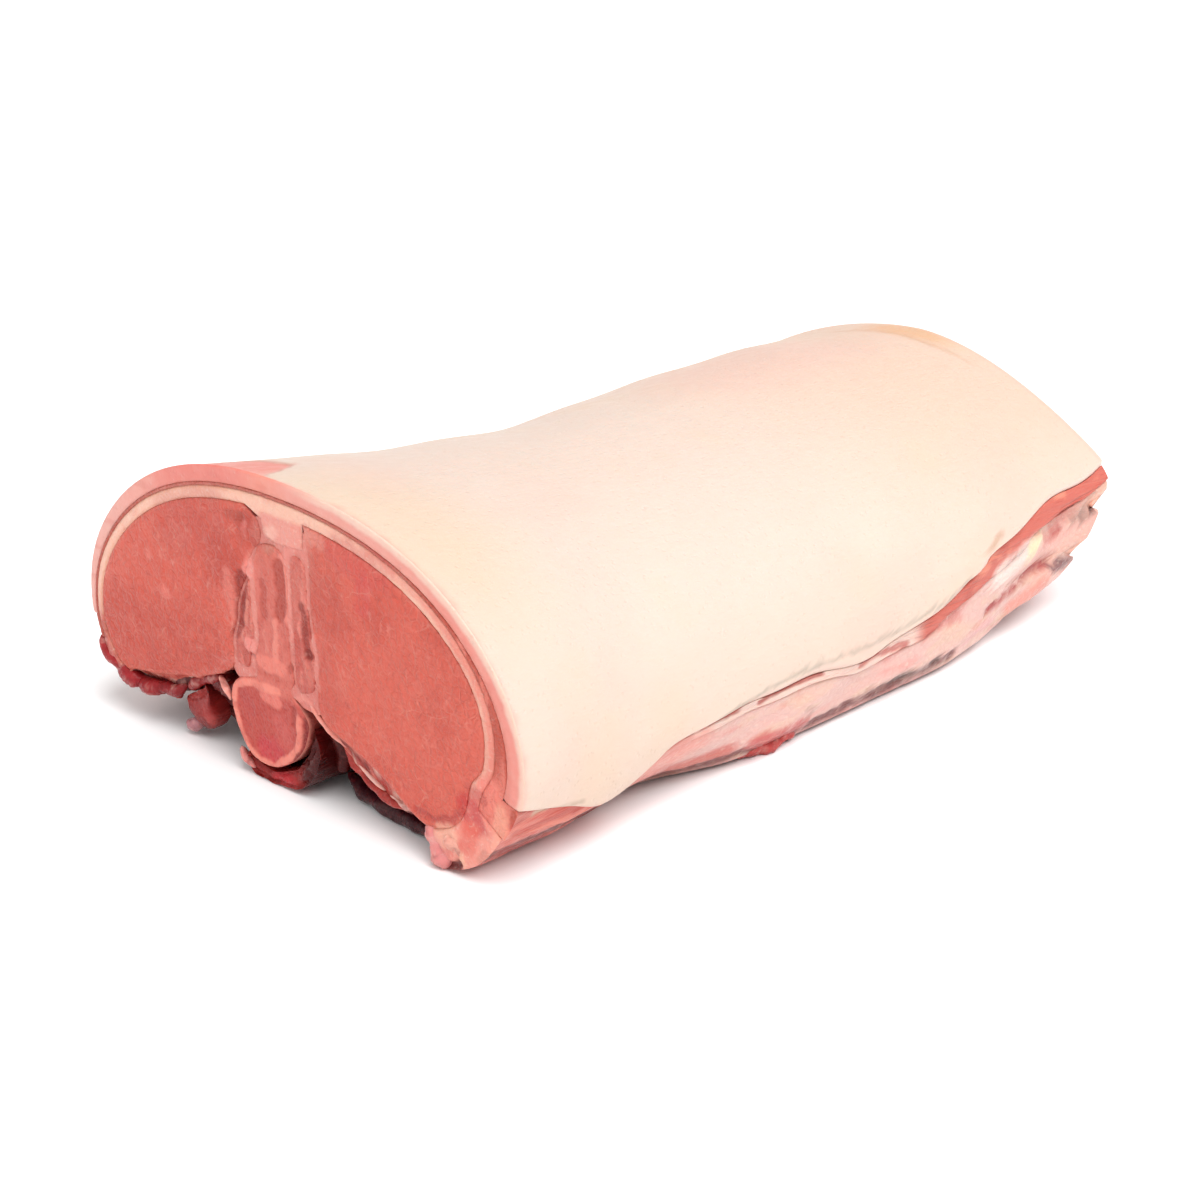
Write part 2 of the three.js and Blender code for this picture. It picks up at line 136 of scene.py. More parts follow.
ROUNDED_END = 0.35
THIN_END = 0.3

BACK_SLANT = 17
FLANK_SET_BACK = 30
FLANK_SLANT_HEIGHT = 60
FLANK_FROM_MIDDLE = 80
NOTCH_DEPTH = 9
NOTCH_PITCH = 17.5
NOTCH_TOP = 44
NOTCH_FADE = 9
LEFT_BACK_SLANT = 6
SLANT_WIDTH = 100
SWELL = 1.1
SWELL_ENDS = 1.75
SWELL_FADE = 0.4
SWELL_RATE = 6
SWELL_WAVES = [(3.1, 2.3, 0.4), (5.3, 4.1, 2.1), (8.7, 6.2, 4.4)]
EDGE_RAGGED = 1.6
EDGE_WAVES = [(17, 0.3), (29, 1.9), (47, 4.2)]

# ---- fineness of meshes

STATION_STEP = 2.2
END_STATIONS = (0.5, 1.2, 2.2, 3.6)
CAP_STEP = 0.75
CAP_ROUND = 0.35
OUTER_POINTS = 105
STRIP_POINTS = 14
FLAP_POINTS = 26
EDGE_POINTS = 7
HIDDEN_POINTS = 40
EYE_POINTS = 90
SMOOTH_STEP = 1.4

EDGE_TUCK = 0.02
EDGE_BULGE = 0.004
RING_GAP = 0.05
LIFT_FADE = 3
CAP_LIFT_FADE = 1.5
THIN_SPACING = 6
FINE_CAP = 0.6
THIN_TURN = 0.4
BED_SET_BACK = 0.45
CAP_JITTER = 0.15
CAP_ROW = 0.87
CAP_CLEAR = 0.45
END_CLEAR = 5
CURVE_PLACES = np.linspace(0, 2, 90)

# Zones of a section: the outside, the cut edge, what is hidden and what comes out to the surface
OUTER, EDGE, INNER, EXPOSED = range(4)


# ---- small helpers

def smooth(t):
    c = np.clip(t, 0, 1)
    return c * c * (3 - 2 * c)


def rise(value, start, width):
    """From 0 to 1 as the value passes start and goes width beyond it."""
    return smooth((value - start) / width)


def fall(value, start, width):
    """From 1 to 0 in the same place."""
    return 1 - smooth((value - start) / width)


def spline(a, b, c, d, f):
    """A smooth curve from b to c, read at f from 0 to 1."""
    return b + 0.5 * f * (c - a + f * (2 * a - 5 * b + 4 * c - d + f * (3 * b - a - 3 * c + d)))


def along(values, t):
    """A smooth curve through evenly spaced values, read at t from 0 to 1."""
    values = np.asarray(values, float)
    last = len(values) - 1
    u = np.clip(t, 0, 1) * last
    i = np.minimum(np.floor(u).astype(int), last - 1)
    f = u - i
    held = np.concatenate([[2 * values[0] - values[1]], values, [2 * values[-1] - values[-2]]])
    return spline(held[i], held[i + 1], held[i + 2], held[i + 3], f)


def rounded(points, step=SMOOTH_STEP, closed=False):
    """A smooth curve through points, with about one point per step."""
    points = np.asarray(points, float)
    if closed:
        points = np.concatenate([points, points[:1]])
    chords = np.hypot(*np.diff(points[:, :2], axis=0).T)
    padded = np.concatenate([points[-2:-1], points, points[1:2]]) if closed else np.concatenate(
        [2 * points[:1] - points[1:2], points, 2 * points[-1:] - points[-2:-1]]
    )
    out = []
    for i, chord in enumerate(chords):
        count = max(round(chord / step), 1)
        out.append(spline(*padded[i:i + 4], np.arange(count)[:, None] / count))
    if not closed:
        out.append(points[-1:])
    return np.concatenate(out)


def hashed(ix, iy, iz, seed):
    n = (ix * 73856093) ^ (iy * 19349663) ^ (iz * 83492791) ^ (seed * 2654435761)
    n = n & 0xFFFFFFFF
    n = ((n ^ (n >> 13)) * 1274126177) & 0xFFFFFFFF
    return ((n ^ (n >> 16)) & 0xFFFF) / 32767.5 - 1


def noise(p, scale, seed=0):
    """Smooth noise from -1 to 1 at 3-D points, with cells of that size in mm."""
    u = p / np.asarray(scale, float)
    i = np.floor(u).astype(np.int64)
    f = smooth(u - i)
    total = 0
    for dx in (0, 1):
        for dy in (0, 1):
            for dz in (0, 1):
                w = (f[..., 0] if dx else 1 - f[..., 0]) * (f[..., 1] if dy else 1 - f[..., 1])
                w = w * (f[..., 2] if dz else 1 - f[..., 2])
                total = total + w * hashed(i[..., 0] + dx, i[..., 1] + dy, i[..., 2] + dz, seed)
    return total


def fbm(p, scale, octaves=3, seed=0):
    scale = np.asarray(scale, float)
    total = sum(noise(p, scale / 2 ** k, seed + 17 * k) / 2 ** k for k in range(octaves))
    return total / (2 - 0.5 ** (octaves - 1))


def channels(code):
    """Red, green and blue of a colour code, from 0 to 255."""
    return np.array([code >> 16, code >> 8 & 255, code & 255], float)


def linear(code):
    """A colour as it should look in this bright light, as a share of the light thrown back."""
    c = channels(code) / 255
    return EXPOSURE * np.where(c <= 0.04045, c / 12.92, ((c + 0.055) / 1.055) ** 2.4)


def blend(base, colour, share):
    share = np.clip(share, 0, 1)[..., None]
    return base * (1 - share) + linear(colour) * share


def reach(px, py, points):
    """Distance from each place to a line of points."""
    best = np.full(np.shape(px), 1e9)
    for (x0, y0), (x1, y1) in zip(points, points[1:]) if len(points) > 1 else [(points[0], points[0])]:
        dx, dy = x1 - x0, y1 - y0
        t = np.clip(((px - x0) * dx + (py - y0) * dy) / max(dx * dx + dy * dy, 1e-9), 0, 1)
        best = np.minimum(best, np.hypot(px - x0 - t * dx, py - y0 - t * dy))
    return best


def inside(px, py, ring):
    """Whether each place lies within a closed ring."""
    hit = np.zeros(px.shape, bool)
    for (x0, y0), (x1, y1) in zip(ring, np.roll(ring, -1, 0)):
        if y0 != y1:
            crosses = (y0 > py) != (y1 > py)
            hit ^= crosses & (px < (x1 - x0) * (py - y0) / (y1 - y0) + x0)
    return hit


# ---- the form, as in CAD

def outside(side, q, v):
    half = along(side.half_width, v)
    bulge = along(side.bulge_height, v)
    power = 2 / along(side.roundness, v)
    turn = np.clip(q, 0, 1) * math.pi / 2
    out = np.sin(turn) ** power
    up = np.maximum(np.cos(turn), 0) ** power
    upper_x = RIDGE_X + (side.sign * half - RIDGE_X) * out
    upper_z = bulge + (along(RIDGE_HEIGHT, v) - bulge) * up
    turn = np.clip(q - 1, 0, 1) * math.pi / 2
    foot = along(side.foot, v)
    lift = max(along(side.foot_lift, v), 0)
    squarer = along(side.flank_power, v)
    lower_x = side.sign * (foot + (half - foot) * np.maximum(np.cos(turn), 0) ** squarer)
    lower_z = lift + (bulge - lift) * (1 - np.sin(turn) ** squarer)
    return np.where(q <= 1, upper_x, lower_x), np.where(q <= 1, upper_z, lower_z)


def below(side, q, v, depth):
    q = np.asarray(q, float)
    x0, z0 = outside(side, np.maximum(q - RUN_REACH, 0), v)
    x1, z1 = outside(side, np.minimum(q + RUN_REACH, 2), v)
    x, z = outside(side, q, v)
    run = np.hypot(x1 - x0, z1 - z0)
    fade = rise(SWELL_ENDS, q, SWELL_FADE)
    swell = sum(np.sin(a * side.sign * q + b * SWELL_RATE * v + c) for a, b, c in SWELL_WAVES)
    inward = depth - SWELL * fade * swell / len(SWELL_WAVES)
    across, up = side.sign * (z1 - z0) * inward / run, side.sign * (x1 - x0) * inward / run
    return np.stack([x + across, z - up], -1)


def place_of_height(side, z, v):
    bulge = along(side.bulge_height, v)
    if z > bulge:
        up = (z - bulge) / (along(RIDGE_HEIGHT, v) - bulge)
        return math.acos(up ** (along(side.roundness, v) / 2)) * 2 / math.pi
    lift = max(along(side.foot_lift, v), 0)
    down = (1 - (z - lift) / (bulge - lift)) ** (1 / along(side.flank_power, v))
    return 1 + math.asin(down) * 2 / math.pi


def place_of_reach(side, out, v):
    share = out / (along(side.half_width, v) - side.sign * RIDGE_X)
    return math.asin(share ** (along(side.roundness, v) / 2)) * 2 / math.pi


def edge_place(side, heights, v):
    wobble = sum(math.sin(rate * v + shift) for rate, shift in EDGE_WAVES) / len(EDGE_WAVES)
    return place_of_height(side, along(heights, v) + EDGE_RAGGED * wobble, v)


def thickness(side, common, left_front, q, v):
    full = along(common, np.asarray(q) / 2)
    if side.sign > 0:
        return full
    thin = along(left_front, np.asarray(q) / 2)
    return thin + (full - thin) * smooth(v / LEFT_THIN_LENGTH)


def fat_depth(side, q, v):
    return thickness(side, FAT_THICKNESS, LEFT_FRONT_FAT, q, v)


def seam_depth(side, q, v):
    return fat_depth(side, q, v) + thickness(side, SEAM_THICKNESS, LEFT_FRONT_SEAM, q, v)


def inner_fat_depth(side, q, v):
    return seam_depth(side, q, v) + thickness(side, INNER_FAT_THICKNESS, LEFT_FRONT_INNER_FAT, q, v)


def lean_reach(side, v):
    return along(side.half_width, v) - inner_fat_depth(side, 1, v) - SPINE_HALF


def lean_ratio(x, v):
    """How wide the lean is on that side at a station, as a share of its width at the front."""
    right, left = lean_reach(RIGHT, v) / lean_reach(RIGHT, 0), lean_reach(LEFT, v) / lean_reach(LEFT, 0)
    return np.where(x > 0, right, left)


def carried(points, v):
    """Points of the front cut face taken to another station."""
    points = np.asarray(points, float)
    x, z = points[:, 0], points[:, 1]
    beyond = np.maximum(np.abs(x) - SPINE_HALF, 0)
    high = along(RIDGE_HEIGHT, v) / RIDGE_HEIGHT[0]
    return np.stack([x + np.sign(x) * beyond * (lean_ratio(x, v) - 1), z * high], -1)


def on_front(x, z, v):
    """The place on the front cut face that a place at another station comes from."""
    beyond = np.maximum(np.abs(x) - SPINE_HALF, 0)
    high = along(RIDGE_HEIGHT, v)
    return x + np.sign(x) * beyond * (1 / lean_ratio(x, v) - 1), z * RIDGE_HEIGHT[0] / high


def notches(z):
    """The depth of the notches at the rear of the flank, as a share."""
    return np.maximum(np.cos(2 * np.pi * (z - NOTCH_TOP) / NOTCH_PITCH), 0) ** 2


def lengthwise(x, z, v):
    low = 1 - smooth(z / FLANK_SLANT_HEIGHT)
    notched = NOTCH_DEPTH * notches(z) * rise(NOTCH_TOP + NOTCH_FADE, z, NOTCH_FADE)
    flank = smooth(x / FLANK_FROM_MIDDLE) * (FLANK_SET_BACK * low + notched)
    slant = smooth(x / SLANT_WIDTH) * BACK_SLANT + smooth(-x / SLANT_WIDTH) * LEFT_BACK_SLANT
    return -LENGTH / 2 + v * (LENGTH - slant - flank)


# ---- sections
# A section is a closed ring of points with a zone for each: what part of the piece it is on.

def run(points, zone):
    return np.asarray(points), np.full(len(points), zone)


def joined(runs):
    return np.concatenate([points for points, _ in runs]), np.concatenate([zones for _, zones in runs])


def backwards(part):
    return part[0][::-1], part[1][::-1]


def without_first(part):
    return part[0][1:], part[1][1:]


def arch(half_of, v, keel=()):
    """The whole ring of an arch: over the outside from left to right and back along the inside."""
    left, right = half_of(LEFT, v), half_of(RIGHT, v)
    parts = [backwards(joined(left[:-1])), without_first(joined(right[:-1])), right[-1]]
    if len(keel):
        parts.append(run(keel, INNER))
    parts.append(backwards(left[-1]) if len(keel) else without_first(backwards(left[-1])))
    return joined(parts)


def skin_half(side, v):
    end = edge_place(side, side.skin_edge, v)
    q = np.linspace(0, end - EDGE_TUCK, OUTER_POINTS)
    across = np.linspace(0, 1, EDGE_POINTS)
    tuck = EDGE_TUCK * (1 - np.sqrt(np.maximum(1 - (2 * across - 1) ** 2, 0)))
    depth = fat_depth(side, end, v)
    back = np.linspace(end, 0, HIDDEN_POINTS)[1:]
    return [
        run(below(side, q[:-1], v, 0), OUTER),
        run(below(side, end - tuck, v, across * depth), EDGE),
        run(below(side, back, v, fat_depth(side, back, v)), INNER),
    ]


def stepped_half(side, v, cover_end, end, cover_depth, open_depth, under_depth, open_points, stop=0.0):
    """One side of a layer that comes out to the surface below the edge of the layer over it."""
    cover = np.linspace(0, cover_end, HIDDEN_POINTS)
    opened = np.linspace(cover_end, end, open_points)
    across = np.linspace(0, 1, EDGE_POINTS)[1:-1]
    top, bottom = open_depth(end), under_depth(side, end, v)
    bulge = EDGE_BULGE * np.sin(across * math.pi)
    back = np.linspace(end, stop, HIDDEN_POINTS)
    return [
        run(below(side, cover, v, cover_depth(side, cover, v)), INNER),
        run(below(side, opened, v, open_depth(opened)), EXPOSED),
        run(below(side, np.minimum(end + bulge, 2), v, top + (bottom - top) * across), EDGE),
        run(below(side, back, v, under_depth(side, back, v)), INNER),
    ]


def seam_half(side, v):
    skin_end, end = edge_place(side, side.skin_edge, v), edge_place(side, side.seam_edge, v)
    step = lambda q: SEAM_STEP + 0 * q
    return stepped_half(side, v, skin_end, end, fat_depth, step, seam_depth, STRIP_POINTS)


def inner_fat_half(side, v):
    seam_end = edge_place(side, side.seam_edge, v)
    taper = lambda q: INNER_FAT_STEP * (2 - q) / (2 - seam_end)
    keel = place_of_reach(side, KEEL_REACH, v)
    return stepped_half(side, v, seam_end, 2, seam_depth, taper, inner_fat_depth, FLAP_POINTS, keel)


def skin_section(v):
    return arch(skin_half, v)


def seam_section(v):
    return arch(seam_half, v)


def inner_fat_section(v):
    return arch(inner_fat_half, v, carried(rounded(KEEL), v))


def eye_section(side, rim, hanging):
    """Sections of a loin eye, whose rim gives way to tissue that hangs lower behind the cut."""
    both = rounded([(*point, *low) for point, low in zip(rim, [*hanging, *rim[len(hanging):]])])

    def section(v):
        behind = smooth(v / HANG_LENGTH)
        line = carried(both[:, :2] * (1 - behind) + both[:, 2:] * behind, v)
        seam_end = edge_place(side, side.seam_edge, v)
        q = np.linspace(place_of_reach(side, KEEL_REACH + LAYER_GAP, v), 2, EYE_POINTS)
        low = ((q - seam_end) / (2 - seam_end) - DRAWN_FROM) / (1 - DRAWN_FROM)
        drawn = (DRAWN_MOST * smooth(v / DRAWN_LENGTH) * np.maximum(low, 0))[:, None]
        outer = below(side, q, v, inner_fat_depth(side, q, v)) * (1 - drawn) + line[0] * drawn
        return joined([run(outer, INNER), run(line, EXPOSED)])

    return section


def bone_section(v):
    swell = VERTEBRA_SWELL * math.cos(2 * math.pi * v * LENGTH / VERTEBRA_LENGTH)
    points = rounded(BONE, closed=True)
    body = smooth((BODY_TOP + 2 - points[:, 1]) / 4)
    points[:, 0] += (points[:, 0] - BODY_MIDDLE) * swell * body
    return run(carried(points, v), EXPOSED)


def outline_section(outline):
    fixed = rounded(outline, closed=True)
    return lambda v: run(carried(fixed, v), EXPOSED)


def lobe_section(top, underside, span, blunt_front):
    line = rounded(top)
    hanging = rounded(underside)

    def section(v):
        share = (v - span[0]) / (span[1] - span[0])
        nearest = 1 - share if blunt_front else min(share, 1 - share)
        end = min(nearest, ROUNDED_END) / ROUNDED_END
        size = THIN_END + (1 - THIN_END) * math.sqrt(max(1 - (1 - end) ** 2, 0))
        root = np.interp(hanging[:, 0], line[:, 0], line[:, 1])
        lower = np.stack([hanging[:, 0], root + (hanging[:, 1] - root) * size], -1)
        return run(carried(np.concatenate([line, lower]), v), EXPOSED)

    return section


# ---- meshes

def ring_area(ring):
    nxt = np.roll(ring, -1, 0)
    return (ring[:, 0] * nxt[:, 1] - nxt[:, 0] * ring[:, 1]).sum() / 2


def ring_normals(points):
    rolled = [np.roll(points, shift, 1) for shift in (-2, -1, 1, 2)]
    run_on = rolled[0] + rolled[1] - rolled[2] - rolled[3]
    length = np.maximum(np.linalg.norm(run_on, axis=-1, keepdims=True), 1e-9)
    return np.stack([run_on[..., 1], -run_on[..., 0]], -1) / length


def shares_of(span, spacing):
    length = (span[1] - span[0]) * LENGTH
    close = np.array([0, *END_STATIONS])
    count = max(int((length - 2 * END_CLEAR) / spacing), 2)
    middle = np.linspace(END_CLEAR, length - END_CLEAR, count)
    return span[0] + np.concatenate([close, middle, length - close[::-1]]) / LENGTH


def cap_points(ring, step, seed):
    """Places inside a ring, and how far each is from it."""
    rng = np.random.default_rng(seed)
    low, high = ring.min(0), ring.max(0)
    xs, zs = np.arange(low[0], high[0], step), np.arange(low[1], high[1], step * CAP_ROW)
    gx, gz = np.meshgrid(xs, zs)
    gx = gx + np.where(np.arange(len(zs)) % 2, step / 2, 0)[:, None]
    gx, gz = gx.ravel(), gz.ravel()
    gx = gx + rng.uniform(-CAP_JITTER, CAP_JITTER, gx.size) * step
    gz = gz + rng.uniform(-CAP_JITTER, CAP_JITTER, gz.size) * step
    keep = inside(gx, gz, ring)
    gx, gz = gx[keep], gz[keep]
    away = reach(gx, gz, np.concatenate([ring, ring[:1]]))
    keep = away > CAP_CLEAR * step
    return gx[keep], gz[keep], away[keep]


def triangulate(ring, gx, gz):
    points = [Vector(p) for p in ring] + [Vector(p) for p in zip(gx, gz)]
    edges = [(i, (i + 1) % len(ring)) for i in range(len(ring))]
    result = delaunay_2d_cdt(points, edges, [], 1, 1e-7, True)
    places = np.array([tuple(p) for p in result[0]])
    faces = np.array(result[2])
    middle = places[faces].mean(1)
    faces = faces[inside(middle[:, 0], middle[:, 1], ring)]
    source = np.array([origins[0] if origins else -1 for origins in result[3]])[faces]
    return [tuple(face) for face in source.tolist() if min(face) >= 0]


class Shell:
    """Points, faces and tints of one piece, gathered until its mesh is made."""

    def __init__(self):
        self.points, self.tints, self.faces, self.count = [], [], [], 0

    def add(self, points, tints):
        start = self.count
        self.points.append(points.reshape(-1, 3))
        self.tints.append(np.broadcast_to(tints, points.shape).reshape(-1, 3))
        self.count += len(self.points[-1])
        return start

    def mesh(self, name):
        points = np.concatenate(self.points)
        points = (points - [FOOTPRINT_MIDDLE, 0, 0]) / 1000
        points[:, 2] = np.maximum(points[:, 2], 0)
        mesh = bpy.data.meshes.new(name)
        mesh.from_pydata(points.tolist(), [], self.faces)
        mesh.polygons.foreach_set("use_smooth", [True] * len(mesh.polygons))
        tint = mesh.color_attributes.new("tint", "FLOAT_COLOR", "POINT")
        tints = np.clip(np.concatenate(self.tints), 0, 1)
        colours = np.concatenate([tints, np.ones((len(points), 1))], 1)
        tint.data.foreach_set("color", colours.astype(np.float32).ravel())
        mesh.validate()
        return mesh


def quads(rows, count, start=0):
    """Faces between rows of points that each close on themselves."""
    a = (np.arange(rows - 1)[:, None] * count + np.arange(count)).ravel() + start
    b = (np.arange(rows - 1)[:, None] * count + (np.arange(count) + 1) % count).ravel() + start
    return np.stack([a, a + count, b + count, b], -1).tolist()


def loft(section, side_paint, face_paint, seed, span=(0, 1), spacing=STATION_STEP, cap_step=CAP_STEP,
         set_back=0.0, turned=CAP_ROUND, lobe=False):
    """Skins the sections along the joint and closes both ends with fine, slightly uneven cut faces."""
    shares = shares_of(span, spacing)
    sections = [section(v) for v in shares]
    zones = sections[0][1]
    rings = np.stack([points for points, _ in sections])
    if ring_area(rings[0]) < 0:
        rings, zones = rings[:, ::-1], zones[::-1]
    x, z = rings[..., 0], rings[..., 1]
    surface = np.stack([x, lengthwise(x, z, shares[:, None]), z], -1)
    tints, lift = Side(surface, zones, shares[:, None]).painted(side_paint)
    if not lobe:
        from_end = np.minimum(shares - shares[0], shares[-1] - shares)[:, None] * LENGTH
        lift = lift * smooth(from_end / LIFT_FADE)
    normals = ring_normals(rings)
    surface[..., 0] += normals[..., 0] * lift
    surface[..., 2] += normals[..., 1] * lift
    if lobe:
        rings = surface[..., [0, 2]]
    shell = Shell()
    caps = []
    for end, row, out in ((0, 1, -1), (-1, -2, 1)):
        ring, v = rings[end], shares[end]
        gx, gz, away = cap_points(ring, cap_step, seed + end)
        tints[end], _ = Face(ring[:, 0], ring[:, 1], np.zeros(len(ring)), v).painted(face_paint)
        middle, middle_lift = Face(gx, gz, away, v).painted(face_paint)
        turn = turned * (1 - np.sqrt(np.clip(1 - (1 - np.clip(away / turned, 0, 1)) ** 2, 0, 1)))
        gy = lengthwise(gx, gz, v) + out * (middle_lift * smooth(away / CAP_LIFT_FADE) - turn - set_back)
        rim = surface[end][:, 1] - out * (turned + set_back)
        surface[end][:, 1] = -out * np.minimum(-out * rim, -out * surface[row][:, 1] - RING_GAP)
        caps.append((ring, gx, gz, gy, middle))
    shell.add(surface, tints)
    rows, count = x.shape
    shell.faces = quads(rows, count)
    for first, turned_over, (ring, gx, gz, gy, middle) in zip((0, (rows - 1) * count), (1, -1), caps):
        start = shell.add(np.stack([gx, gy, gz], -1), middle)
        for face in triangulate(ring, gx, gz):
            face = tuple(first + i if i < count else start + i - count for i in face)
            shell.faces.append(face[::turned_over])
    return shell


def place(name, material, slot, shell, *nodes):
    """Makes the piece; nodes are the solids that it takes the place of."""
    piece = bpy.data.objects.new(name, shell.mesh(name))
    bpy.context.scene.collection.objects.link(piece)
    piece.data.materials.append(material)
    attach(piece, "root")
    if nodes:
        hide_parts(*nodes)


# ---- colours

EXPOSURE = 0.71

SKIN = 0xF0D8C9
SKIN_WARM = 0xF1D4BA
SKIN_PINK = 0xF4CCBC
SKIN_STAIN = 0xEEB076
OUTER_FAT = 0xF6A698
OUTER_FAT_RED = 0xF08073
INNER_FAT = 0xFFC4AC
INNER_FAT_PINK = 0xF09486
FLANK_FAT = 0xECBEB4
FLANK_CREAM = 0xECC6AE
YELLOW_FAT = 0xFDECBE
LEAN = 0xE26655
LEAN_DARK = 0xC0463A
LEAN_LIGHT = 0xE87462
SEAM_LEAN = 0xC45C4C
# Painted shade: near-black red laid on the surfaces deep in the hollows under the loins and beside the crus
HOLLOW_SHADE = 0x460C0C
BONE_PINK = 0xE27868
BONE_PALE = 0xFF9886
MARROW = 0xC44A42

